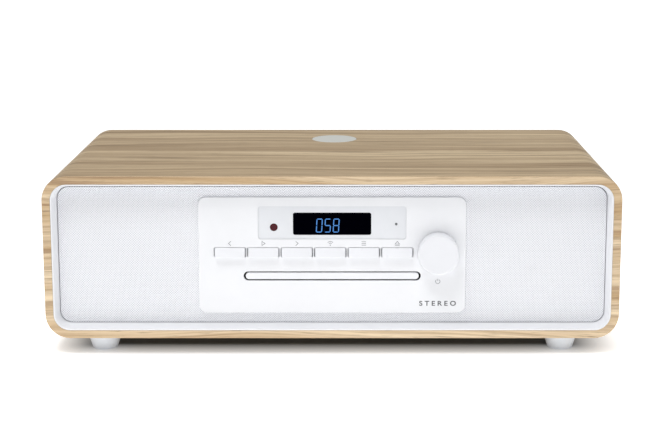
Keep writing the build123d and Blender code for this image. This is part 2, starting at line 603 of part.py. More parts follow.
channel_w = tray_w + 2 * side_play
well_w = channel_w - 2 * rail
leg_places = [
    (side * (loader_w / 2 - leg_side), y)
    for side in (-1, 1) for y in (leg_in, loader_end - loader_front - leg_in)
]
with BuildPart() as loader_chassis:
    with BuildSketch(level(loader_under, 0, loader_front)):
        Rectangle(loader_w, loader_end - loader_front, align=(Align.CENTER, Align.MIN))
    extrude(amount=loader_top - loader_under)
    with BuildSketch(level(loader_under + loader_plate, 0, loader_front + loader_wall_t)):
        Rectangle(
            well_w, loader_end - loader_front - 2 * loader_wall_t, align=(Align.CENTER, Align.MIN)
        )
    extrude(amount=loader_top, mode=Mode.SUBTRACT)
    with BuildSketch(level(tray_under - tray_play, 0, loader_front)):
        Rectangle(channel_w, loader_end - loader_front - loader_wall_t, align=(Align.CENTER, Align.MIN))
    extrude(amount=tray_t + 2 * tray_play, mode=Mode.SUBTRACT)
    with BuildSketch(level(loader_under + loader_plate, gear_x, gear_depth)):
        Circle(motor_r + motor_clear)
    extrude(amount=loader_drop - loader_plate, mode=Mode.SUBTRACT)
    with BuildSketch(level(floor_z, 0, loader_front)):
        with Locations(*leg_places):
            Circle(leg_r)
    extrude(amount=loader_under - floor_z)
loader_chassis.part.label = "loader_chassis"
export_step(loader_chassis.part, "parts/loader_chassis.step")

with BuildPart() as clamp_bridge:
    with BuildSketch(level(loader_top, 0, disc_depth)):
        Rectangle(loader_w, bridge_w)
        Circle(bridge_hole_r, mode=Mode.SUBTRACT)
    extrude(amount=bridge_t)
clamp_bridge.part.label = "clamp_bridge"
export_step(clamp_bridge.part, "parts/clamp_bridge.step")

with BuildPart() as clamp_puck:
    with BuildSketch(level(tray_top + puck_clear, 0, disc_depth)):
        Circle(puck_r)
    extrude(amount=loader_top - tray_top - puck_clear - 4 * fit)
    with BuildSketch(level(tray_top + puck_clear, 0, disc_depth)):
        Circle(puck_neck_r)
    extrude(amount=loader_top + bridge_t + puck_cap_t - tray_top - puck_clear)
    with BuildSketch(level(loader_top + bridge_t + puck_lift, 0, disc_depth)):
        Circle(puck_cap_r)
    extrude(amount=puck_cap_t)
clamp_puck.part.label = "clamp_puck"
export_step(clamp_puck.part, "parts/clamp_puck.step")

deck_z, deck_w = tray_under - deck_drop, 2 * (disc_r - deck_inset)
deck_start, deck_end = disc_depth - deck_ahead, disc_depth + deck_behind
rod_z = tray_under - rod_drop
bracket_depths = (disc_depth + rod_ahead, disc_depth + rod_behind)
pickup_start = disc_depth + pickup_start_behind
with BuildPart() as traverse_deck:
    with BuildSketch(level(deck_z, 0, deck_start)):
        Rectangle(deck_w, deck_end - deck_start, align=(Align.CENTER, Align.MIN))
        with Locations((0, disc_depth - deck_start)):
            Circle(deck_hole_r, mode=Mode.SUBTRACT)
        with Locations((0, pickup_start - deck_start)):
            Rectangle(deck_slot_w, deck_slot_l, align=(Align.CENTER, Align.MIN), mode=Mode.SUBTRACT)
    extrude(amount=deck_t)
    with BuildSketch(level(loader_under + loader_plate, 0, (deck_start + deck_end) / 2)):
        with GridLocations(deck_w - 2 * deck_post_in, deck_end - deck_start - 2 * deck_post_in, 2, 2):
            Circle(deck_post_r)
    extrude(amount=deck_z - loader_under - loader_plate)
    for behind in bracket_depths:
        with BuildSketch(level(deck_z + deck_t, 0, behind)):
            with Locations((-rod_x, bracket_t / 2), (rod_x, bracket_t / 2)):
                Rectangle(bracket_w, bracket_t)
        extrude(amount=rod_z + bracket_top - deck_z - deck_t)
    with BuildSketch(facing(bracket_depths[0], 0, rod_z)):
        with Locations((-rod_x, 0), (rod_x, 0)):
            Circle(rod_r + shaft_clear)
    extrude(amount=-(bracket_depths[1] - bracket_depths[0] + bracket_t), mode=Mode.SUBTRACT)
traverse_deck.part.label = "traverse_deck"
export_step(traverse_deck.part, "parts/traverse_deck.step")

with BuildPart() as guide_rods:
    with BuildSketch(facing(bracket_depths[0], 0, rod_z)):
        with Locations((-rod_x, 0), (rod_x, 0)):
            Circle(rod_r)
    extrude(amount=-(bracket_depths[1] - bracket_depths[0] + bracket_t))
guide_rods.part.label = "guide_rods"
export_step(guide_rods.part, "parts/guide_rods.step")

with BuildPart() as optical_pickup:
    with BuildSketch(level(rod_z - pickup_below, 0, pickup_start)):
        Rectangle(2 * (rod_x + pickup_side), pickup_length, align=(Align.CENTER, Align.MIN))
    extrude(amount=pickup_h)
    with BuildSketch(facing(pickup_start, 0, rod_z)):
        with Locations((-rod_x, 0), (rod_x, 0)):
            Circle(rod_r + shaft_clear)
    extrude(amount=-pickup_length, mode=Mode.SUBTRACT)
    with BuildSketch(level(rod_z + pickup_h - pickup_below, 0, pickup_start + pickup_length / 2)):
        Circle(lens_ring_r)
    extrude(amount=lens_ring_t)
optical_pickup.part.label = "optical_pickup"
export_step(optical_pickup.part, "parts/optical_pickup.step")

with BuildPart() as spindle_motor:
    with BuildSketch(level(loader_under + loader_plate + spindle_gap, 0, disc_depth)):
        Circle(spindle_motor_r)
    extrude(amount=motor_top - loader_under - loader_plate - spindle_gap)
    with BuildSketch(level(tray_under - table_stem_drop - spindle_gap, 0, disc_depth)):
        Circle(gear_stem_r + shaft_clear)
    extrude(amount=table_stem_drop, mode=Mode.SUBTRACT)
spindle_motor.part.label = "spindle_motor"
export_step(spindle_motor.part, "parts/spindle_motor.step")

with BuildPart() as turntable:
    with BuildSketch(level(tray_under - table_stem_drop, 0, disc_depth)):
        Circle(gear_stem_r)
    extrude(amount=table_stem_drop - table_drop + spindle_gap)
    with BuildSketch(level(tray_under - table_drop, 0, disc_depth)):
        Circle(table_r)
    extrude(amount=table_t)
    with BuildSketch(level(tray_under - table_drop + table_t, 0, disc_depth)):
        Circle(hub_r)
    extrude(amount=hub_h, taper=hub_taper)
turntable.part.label = "turntable"
export_step(turntable.part, "parts/turntable.step")

# ---------------------------------------------------------------- drivers
land_depth = baffle_depth + land_drop
cone_edge = land_depth + roll_t
neck_depth = cone_edge + (cone_r - coil_r) * cone_fall
magnet_depth = baffle_depth + basket_depth + 2.0
for side, x in drivers.items():
    axis = turning_axis(x)
    with BuildPart() as basket:
        with BuildSketch(profile_plane(x)):
            with BuildLine():
                Polyline(
                    (basket_r, -baffle_depth), (basket_r, -baffle_depth - basket_t),
                    (cone_hole_r + 3, -baffle_depth - basket_t), (plate_r + 1, 2 - magnet_depth),
                    (plate_r + 1, -magnet_depth), (coil_r + 1.6, -magnet_depth),
                    (coil_r + 1.6, 1.6 - magnet_depth), (plate_r - 0.4, 1.6 - magnet_depth),
                    (cone_hole_r + 1.2, -baffle_depth - basket_t), (cone_hole_r, -cone_edge - 0.6),
                    (cone_hole_r, -cone_edge), (cone_hole_r + basket_lip, -cone_edge),
                    (cone_hole_r + basket_lip, -baffle_depth), close=True,
                )
            make_face()
        revolve(axis=axis)
        with BuildSketch(facing(baffle_depth + basket_t + 4, x)):
            with PolarLocations(plate_r + 6, basket_windows, start_angle=30):
                Rectangle(basket_window_w, basket_window_h)
        extrude(amount=-(basket_depth - basket_t - 8), mode=Mode.SUBTRACT)
        with BuildSketch(facing(baffle_depth, x)):
            with PolarLocations(driver_screw_ring, 4, start_angle=45):
                Circle(driver_screw_r + 0.3)
        extrude(amount=-basket_t, mode=Mode.SUBTRACT)
    basket.part.label = f"{side}_basket"
    export_step(basket.part, f"parts/{side}_basket.step")

    with BuildPart() as magnet:
        with BuildSketch(facing(magnet_depth, x)):
            Circle(plate_r)
        extrude(amount=-(2 * plate_t + magnet_t))
        with BuildSketch(facing(magnet_depth + plate_t, x)):
            Circle(magnet_r)
        extrude(amount=-magnet_t)
        with BuildSketch(facing(magnet_depth, x)):
            Circle(coil_r + coil_gap)
            Circle(coil_r - coil_gap, mode=Mode.SUBTRACT)
        extrude(amount=-(plate_t + magnet_t), mode=Mode.SUBTRACT)
    magnet.part.label = f"{side}_magnet"
    export_step(magnet.part, f"parts/{side}_magnet.step")

    with BuildPart() as cone:
        with BuildSketch(profile_plane(x)):
            with BuildLine():
                Polyline(
                    (cone_r - 1.5, -cone_edge), (cone_r, -cone_edge), (cone_r, -cone_edge - cone_t),
                    (coil_r + 0.2, -neck_depth - cone_t), (coil_r + 0.2, -neck_depth), close=True,
                )
            make_face()
        revolve(axis=axis)
    cone.part.label = f"{side}_cone"
    export_step(cone.part, f"parts/{side}_cone.step")

    roll_x = (cone_r + cone_hole_r) / 2
    with BuildPart() as surround:
        with BuildSketch(profile_plane(x)):
            with BuildLine():
                Line((cone_r - 1.5, -cone_edge), (cone_r - 1.5, -land_depth))
                Line((cone_r - 1.5, -land_depth), (roll_x - roll_r, -land_depth))
                RadiusArc((roll_x - roll_r, -land_depth), (roll_x + roll_r, -land_depth), roll_r)
                Line((roll_x + roll_r, -land_depth), (cone_hole_r + 2, -land_depth))
                Line((cone_hole_r + 2, -land_depth), (cone_hole_r + 2, -cone_edge))
                Line((cone_hole_r + 2, -cone_edge), (roll_x + roll_r - roll_t, -cone_edge))
                RadiusArc(
                    (roll_x + roll_r - roll_t, -cone_edge), (roll_x - roll_r + roll_t, -cone_edge),
                    -(roll_r - roll_t),
                )
                Line((roll_x - roll_r + roll_t, -cone_edge), (cone_r - 1.5, -cone_edge))
            make_face()
        revolve(axis=axis)
    surround.part.label = f"{side}_surround"
    export_step(surround.part, f"parts/{side}_surround.step")

    cap_r = coil_r + cap_lap
    cap_depth = neck_depth - cap_lap * cone_fall - fit
    dome_r = (cap_r**2 + cap_rise**2) / (2 * cap_rise)
    dome_centre = (0, cap_rise - cap_depth - dome_r)
    dome_angle = degrees(asin(cap_r / dome_r))
    with BuildPart() as dust_cap:
        with BuildSketch(profile_plane(x)):
            with BuildLine():
                outside = CenterArc(dome_centre, dome_r, 90 - dome_angle, dome_angle)
                inside = CenterArc(dome_centre, dome_r - cap_t, 90 - dome_angle, dome_angle)
                Line(outside @ 0, inside @ 0)
                Line(outside @ 1, inside @ 1)
            make_face()
        revolve(axis=axis)
    dust_cap.part.label = f"{side}_dust_cap"
    export_step(dust_cap.part, f"parts/{side}_dust_cap.step")

    with BuildPart() as voice_coil:
        with BuildSketch(facing(neck_depth, x)):
            Circle(coil_r)
            Circle(coil_r - coil_t, mode=Mode.SUBTRACT)
        extrude(amount=-(magnet_depth + plate_t + 1 - neck_depth))
        with BuildSketch(facing(magnet_depth - 1, x)):
            Circle(coil_r + 0.4)
            Circle(coil_r - coil_t, mode=Mode.SUBTRACT)
        extrude(amount=-(plate_t + 2))
    voice_coil.part.label = f"{side}_voice_coil"
    export_step(voice_coil.part, f"parts/{side}_voice_coil.step")

with BuildPart() as driver_screws:
    with BuildSketch(facing(baffle_depth)):
        with Locations(*driver_screw_places):
            Circle(driver_screw_head_r)
    extrude(amount=driver_screw_head_t)
    with BuildSketch(facing(baffle_depth)):
        with Locations(*driver_screw_places):
            Circle(driver_screw_r)
    extrude(amount=-(baffle_t - 1))
driver_screws.part.label = "driver_screws"
export_step(driver_screws.part, "parts/driver_screws.step")

# ---------------------------------------------------------------- boards
board_end = rear_front - board_rear_gap
board_in, board_out = loader_w / 2 + board_loader_gap, inner_w / 2 - board_wall_gap
board_x, board_y = (board_in + board_out) / 2, (board_start + board_end) / 2
grid_x, grid_y = board_out - board_in - 10, board_end - board_start - 10
with BuildPart() as main_board:
    with BuildSketch(level(floor_z + standoff, board_x, board_y)):
        Rectangle(board_out - board_in, board_end - board_start)
    extrude(amount=board_t)
    with BuildSketch(level(floor_z, board_x, board_y)):
        with GridLocations(grid_x, grid_y, 2, 2):
            Circle(standoff_r)
    extrude(amount=standoff)
    with BuildSketch(level(floor_z + standoff + board_t, board_x, board_y)):
        Rectangle(sink_w, sink_t)
        with GridLocations(fin_pitch, 0, fin_count, 1):
            Rectangle(fin_t, fin_l)
    extrude(amount=sink_h)
    with BuildSketch(level(floor_z + standoff + board_t, board_x, board_y - filter_ahead)):
        with GridLocations(filter_pitch, 0, filter_count, 1):
            Circle(filter_r)
    extrude(amount=filter_h)
main_board.part.label = "main_board"
export_step(main_board.part, "parts/main_board.step")

with BuildPart() as power_supply:
    with BuildSketch(level(floor_z + standoff, -board_x, board_y)):
        Rectangle(board_out - board_in, board_end - board_start)
    extrude(amount=board_t)
    with BuildSketch(level(floor_z, -board_x, board_y)):
        with GridLocations(grid_x, grid_y, 2, 2):
            Circle(standoff_r)
    extrude(amount=standoff)
    with BuildSketch(level(floor_z + standoff + board_t, -board_x - core_side, board_y)):
        Rectangle(core_w, core_l)
    extrude(amount=core_h)
    with BuildSketch(level(floor_z + standoff + board_t, -board_x + reservoir_side, board_y)):
        with GridLocations(0, reservoir_pitch, 1, 2):
            Circle(reservoir_r)
    extrude(amount=reservoir_h)
power_supply.part.label = "power_supply"
export_step(power_supply.part, "parts/power_supply.step")

# ---------------------------------------------------------------- rear
with BuildPart() as rear_panel:
    with BuildSketch(facing(rear_front)):
        RectangleRounded(
            inner_w + 2 * rear_rebate - 2 * fit, inner_h + 2 * rear_rebate - 2 * fit,
            inner_r + rear_rebate - fit,
        )
        with Locations((-port_x, port_up), (port_x, port_up)):
            Circle(port_r + fit, mode=Mode.SUBTRACT)
        with Locations((mains_x, socket_up)):
            Rectangle(inlet_w, inlet_h, mode=Mode.SUBTRACT)
        with Locations((jack_x, socket_up)):
            Circle(jack_r + fit, mode=Mode.SUBTRACT)
        with Locations((aerial_x, socket_up)):
            Circle(aerial_shank_r + fit, mode=Mode.SUBTRACT)
        with Locations(*rear_screw_places):
            Circle(rear_screw_hole_r, mode=Mode.SUBTRACT)
        with GridLocations(vent_pitch, 0, vent_count, 1):
            SlotOverall(vent_h, vent_w, rotation=90, mode=Mode.SUBTRACT)
    extrude(amount=-rear_t)
rear_panel.part.label = "rear_panel"
export_step(rear_panel.part, "parts/rear_panel.step")

for side, x in (("left", -port_x), ("right", port_x)):
    with BuildPart() as bass_port:
        with BuildSketch(facing(rear_back, x, mid_z + port_up)):
            Circle(port_r)
        extrude(amount=port_length)
        with BuildSketch(facing(rear_back, x, mid_z + port_up)):
            Circle(flange_r)
        extrude(amount=-flange_t)
        with BuildSketch(facing(rear_back + flange_t, x, mid_z + port_up)):
            Circle(port_r - port_wall)
        extrude(amount=port_length + flange_t, mode=Mode.SUBTRACT)
        mouth = bass_port.faces().sort_by(Axis.Y)[-1].edges()
        fillet(mouth, mouth_r)
    bass_port.part.label = f"{side}_bass_port"
    export_step(bass_port.part, f"parts/{side}_bass_port.step")

with BuildPart() as mains_inlet:
    with BuildSketch(facing(rear_back, mains_x, mid_z + socket_up)):
        Rectangle(inlet_w - 2 * fit, inlet_h - 2 * fit)
    extrude(amount=inlet_depth)
    with BuildSketch(facing(rear_back, mains_x, mid_z + socket_up)):
        RectangleRounded(inlet_w + 2 * inlet_flange, inlet_h + 1.5 * inlet_flange, inlet_flange_r)
    extrude(amount=-inlet_flange_t)
    with BuildSketch(facing(rear_back + inlet_flange_t, mains_x, mid_z + socket_up)):
        SlotOverall(socket_w, socket_h)
    extrude(amount=socket_depth, mode=Mode.SUBTRACT)
    pins_behind = rear_back + inlet_flange_t - socket_depth
    with BuildSketch(facing(pins_behind, mains_x, mid_z + socket_up)):
        with Locations((-inlet_pin_x, 0), (inlet_pin_x, 0)):
            Circle(inlet_pin_r)
    extrude(amount=-inlet_pin_length)
mains_inlet.part.label = "mains_inlet"
export_step(mains_inlet.part, "parts/mains_inlet.step")

with BuildPart() as aux_jack:
    with BuildSketch(facing(rear_front, jack_x, mid_z + socket_up)):
        Rectangle(jack_block, jack_block)
    extrude(amount=jack_length - rear_t - jack_nose)
    with BuildSketch(facing(rear_front, jack_x, mid_z + socket_up)):
        Circle(jack_r)
    extrude(amount=-(rear_t + jack_nose))
    with BuildSketch(facing(rear_back + jack_nose, jack_x, mid_z + socket_up)):
        Circle(jack_bore_r)
    extrude(amount=jack_length, mode=Mode.SUBTRACT)
aux_jack.part.label = "aux_jack"
export_step(aux_jack.part, "parts/aux_jack.step")

with BuildPart() as aerial_socket:
    with BuildSketch(facing(rear_front, aerial_x, mid_z + socket_up)):
        Rectangle(aerial_block, aerial_block)
    extrude(amount=aerial_block_t)
    with BuildSketch(facing(rear_front, aerial_x, mid_z + socket_up)):
        Circle(aerial_shank_r)
    extrude(amount=-(rear_t + aerial_shoulder))
    with BuildSketch(facing(rear_back + aerial_shoulder, aerial_x, mid_z + socket_up)):
        Circle(aerial_barrel_r)
    extrude(amount=-aerial_barrel_length)
    barrel_end = rear_back + aerial_shoulder + aerial_barrel_length
    with BuildSketch(facing(barrel_end, aerial_x, mid_z + socket_up)):
        Circle(aerial_throat_r)
        Circle(aerial_pin_r, mode=Mode.SUBTRACT)
    extrude(amount=aerial_throat, mode=Mode.SUBTRACT)
aerial_socket.part.label = "aerial_socket"
export_step(aerial_socket.part, "parts/aerial_socket.step")

with BuildPart() as rear_screws:
    with BuildSketch(facing(rear_back)):
        with Locations(*rear_screw_places):
            Circle(rear_screw_head_r)
    extrude(amount=-rear_screw_head_t)
    with BuildSketch(facing(rear_back)):
        with Locations(*rear_screw_places):
            Circle(rear_screw_r)
    extrude(amount=rear_t + rear_screw_bite)
rear_screws.part.label = "rear_screws"
export_step(rear_screws.part, "parts/rear_screws.step")

# ---------------------------------------------------------------- feet and top pad
with BuildPart() as feet:
    for x, y in foot_places:
        with BuildSketch(Plane(origin=(x, y, 0), x_dir=(1, 0, 0), z_dir=(0, -1, 0))):
            with BuildLine():
                Polyline(
                    (0, 0), (foot_bottom_r - foot_bevel, 0), (foot_bottom_r, foot_bevel),
                    (foot_top_r, foot_height), (0, foot_height), close=True,
                )
            make_face()
        revolve(axis=Axis((x, y, 0), (0, 0, 1)))
    with BuildSketch(Plane.XY):
        with Locations(*foot_places):
            Circle(foot_screw_head_r + 3 * fit)
    extrude(amount=screw_seat, mode=Mode.SUBTRACT)
    with BuildSketch(Plane.XY):
        with Locations(*foot_places):
            Circle(foot_screw_r + 3 * fit)
    extrude(amount=foot_height, mode=Mode.SUBTRACT)
feet.part.label = "feet"
export_step(feet.part, "parts/feet.step")

with BuildPart() as foot_screws:
    with BuildSketch(Plane.XY.offset(screw_seat - foot_screw_head_t)):
        with Locations(*foot_places):
            Circle(foot_screw_head_r)
    extrude(amount=foot_screw_head_t)
    with BuildSketch(Plane.XY.offset(screw_seat)):
        with Locations(*foot_places):
            Circle(foot_screw_r)
    extrude(amount=foot_height - screw_seat + foot_screw_bite)
foot_screws.part.label = "foot_screws"
export_step(foot_screws.part, "parts/foot_screws.step")

with BuildPart() as top_pad:
    with BuildSketch(level(top_z - pad_t, 0, pad_behind_front)):
        Circle(pad_r)
    extrude(amount=pad_t)
    chamfer(top_pad.faces().sort_by(Axis.Z)[-1].edges(), pad_chamfer)
top_pad.part.label = "top_pad"
export_step(top_pad.part, "parts/top_pad.step")
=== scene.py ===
import json
import logging
import math
from dataclasses import dataclass
from enum import Enum
from typing import Any, Callable, Optional, Sequence, Union

import bmesh
import bpy
from mathutils import Matrix, Vector


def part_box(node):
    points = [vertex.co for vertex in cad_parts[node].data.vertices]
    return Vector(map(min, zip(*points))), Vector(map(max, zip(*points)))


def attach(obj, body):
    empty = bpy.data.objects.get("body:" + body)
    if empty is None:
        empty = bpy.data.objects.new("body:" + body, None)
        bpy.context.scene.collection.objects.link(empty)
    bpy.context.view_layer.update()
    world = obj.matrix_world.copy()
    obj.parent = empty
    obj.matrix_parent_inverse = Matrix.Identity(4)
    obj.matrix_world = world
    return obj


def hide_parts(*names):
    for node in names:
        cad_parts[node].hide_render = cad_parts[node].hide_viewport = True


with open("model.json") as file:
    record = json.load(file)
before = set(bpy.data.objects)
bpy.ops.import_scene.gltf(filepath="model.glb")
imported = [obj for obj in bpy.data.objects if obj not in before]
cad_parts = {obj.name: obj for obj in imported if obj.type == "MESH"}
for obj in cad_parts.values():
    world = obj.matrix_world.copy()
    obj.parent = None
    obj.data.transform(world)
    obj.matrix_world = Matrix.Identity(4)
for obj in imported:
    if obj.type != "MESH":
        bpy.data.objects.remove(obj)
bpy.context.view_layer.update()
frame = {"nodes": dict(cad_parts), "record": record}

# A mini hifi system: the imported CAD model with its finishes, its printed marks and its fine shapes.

log = logging.getLogger("hifi")

Colour = tuple[float, float, float, float]
Point = tuple[float, float]
Socket = bpy.types.NodeSocket
Node = bpy.types.Node
Verts = list[bmesh.types.BMVert]
Edges = list[bmesh.types.BMEdge]
Feed = Union[float, Sequence[float], Socket]

MM = 0.001
MERGE = 1e-7
SMOOTH_UNDER = math.radians(32)
SHARPEST_BEND = 0.3
WHITE: Colour = (1.0, 1.0, 1.0, 1.0)
BACKWARDS, UPWARDS = Vector((0, 1, 0)), Vector((0, 0, 1))
LIT_SEGMENTS = {
    "0": "abcdef", "1": "bc", "2": "abdeg", "3": "abcdg", "4": "bcfg",
    "5": "acdfg", "6": "acdefg", "7": "abc", "8": "abcdefg", "9": "abcdfg",
}


def srgb(red: int, green: int, blue: int) -> Colour:
    """Turns a screen colour into the linear colour that shaders take.

    Args:
        red: Red from 0 to 255.
        green: Green from 0 to 255.
        blue: Blue from 0 to 255.

    Returns:
        The linear colour with an alpha of 1.
    """

    def linear(value: int) -> float:
        """Gives one channel's linear value."""
        share = value / 255
        return share / 12.92 if share <= 0.04045 else ((share + 0.055) / 1.055) ** 2.4

    return linear(red), linear(green), linear(blue), 1.0


def scaled(colour: Colour, share: float) -> Colour:
    """Gives a colour made darker or lighter by a share."""
    return colour[0] * share, colour[1] * share, colour[2] * share, 1.0


def placed(name: str, data: Any) -> bpy.types.Object:
    """Puts a new object in the scene.

    Args:
        name: The object's name.
        data: Its mesh, curve, lamp or camera.

    Returns:
        The object.
    """
    thing = bpy.data.objects.new(name, data)
    bpy.context.scene.collection.objects.link(thing)
    return thing


@dataclass(frozen=True)
class Span:
    """The box that a CAD node fills, in metres."""

    low: Vector
    high: Vector

    @classmethod
    def of(cls, node: str) -> "Span":
        """Reads a node's box from the frame."""
        low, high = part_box(node)
        return cls(low, high)

    @property
    def middle(self) -> Vector:
        """The centre of the box."""
        return (self.low + self.high) / 2

    @property
    def size(self) -> Vector:
        """The box's three sides."""
        return self.high - self.low


class Tree:
    """Adds nodes to one shader tree and joins them."""

    def __init__(self, tree: bpy.types.NodeTree) -> None:
        """Keeps the tree that the nodes go in."""
        self.tree = tree

    def feed(self, socket: Socket, value: Feed) -> None:
        """Links a socket to another one, or sets its value.

        Args:
            socket: The input to feed.
            value: An output socket, a number or a colour.
        """
        if isinstance(value, Socket):
            self.tree.links.new(value, socket)
        else:
            socket.default_value = value

    def add(self, kind: str, feeds: Optional[dict] = None, **settings: Any) -> Node:
        """Adds a node.

        Args:
            kind: The node's type name.
            feeds: What each input gets, by name or index.
            **settings: The node's own settings.

        Returns:
            The new node.
        """
        node = self.tree.nodes.new(kind)
        for name, value in settings.items():
            setattr(node, name, value)
        for key, value in (feeds or {}).items():
            self.feed(node.inputs[key], value)
        return node

    def math(self, operation: str, *values: Feed) -> Socket:
        """Adds a Math node and gives its result."""
        return self.add("ShaderNodeMath", dict(enumerate(values)), operation=operation).outputs[0]

    def times(self, a: Feed, b: Feed) -> Socket:
        """Multiplies two numbers."""
        return self.math("MULTIPLY", a, b)

    def line(self, value: Feed, slope: float, start: Feed) -> Socket:
        """Gives start plus a value times a slope."""
        return self.math("MULTIPLY_ADD", value, slope, start)

    def beyond(self, value: Feed, limit: float, least: float = 0.0) -> Socket:
        """Gives how far a value is past a limit, and no less than the least."""
        return self.math("MAXIMUM", self.math("SUBTRACT", value, limit), least)

    def noise(self, where: Feed, scale: Feed, detail: float = 3.0, rough: float = 0.55) -> Socket:
        """Adds a noise over a vector.

        Args:
            where: The vector that the noise reads.
            scale: Its scale, per metre.
            detail: Its octaves.
            rough: How strong the finer octaves are.

        Returns:
            The noise's value, about 0.5.
        """
        feeds = {"Vector": where, "Scale": scale, "Detail": detail, "Roughness": rough}
        return self.add("ShaderNodeTexNoise", feeds).outputs[0]

    def band(self, value: Feed, low: float, high: float) -> Socket:
        """Maps a value from low and high to 0 and 1, and holds it there."""
        feeds = {"Value": value, "From Min": low, "From Max": high}
        return self.add("ShaderNodeMapRange", feeds, clamp=True).outputs[0]

    def mix(self, share: Feed, a: Feed, b: Feed) -> Socket:
        """Mixes two colours."""
        return self.add("ShaderNodeMix", {0: share, 6: a, 7: b}, data_type="RGBA").outputs[2]

    def mix_vectors(self, share: Feed, a: Feed, b: Feed) -> Socket:
        """Mixes two vectors."""
        return self.add("ShaderNodeMix", {0: share, 4: a, 5: b}, data_type="VECTOR").outputs[1]

    def bump(self, height: Feed, distance: float) -> Socket:
        """Turns a height from 0 to 1 into a normal, where 1 stands a distance in metres."""
        feeds = {"Height": height, "Distance": distance, "Strength": 1.0}
        return self.add("ShaderNodeBump", feeds).outputs[0]

    def coordinate(self, kind: str) -> Socket:
        """Gives a texture coordinate: Object, in metres, or Normal."""
        return self.add("ShaderNodeTexCoord").outputs[kind]

    def split(self, vector: Feed) -> tuple[Socket, ...]:
        """Splits a vector into x, y and z."""
        return tuple(self.add("ShaderNodeSeparateXYZ", {0: vector}).outputs)

    def join(self, x: Feed, y: Feed, z: Feed) -> Socket:
        """Joins x, y and z into a vector."""
        return self.add("ShaderNodeCombineXYZ", {0: x, 1: y, 2: z}).outputs[0]


class Effect(Enum):
    """The effects that more than one finish uses."""

    MOTTLE = "mottle"
    MOULD_GRAIN = "mould_grain"
    TOP_DUST = "top_dust"
    WOOD_FIGURE = "wood_figure"
    BRUSH_LINES = "brush_lines"


Recipe = tuple[Callable[[Tree, Socket, Socket], dict[str, Socket]], str, tuple[str, ...]]


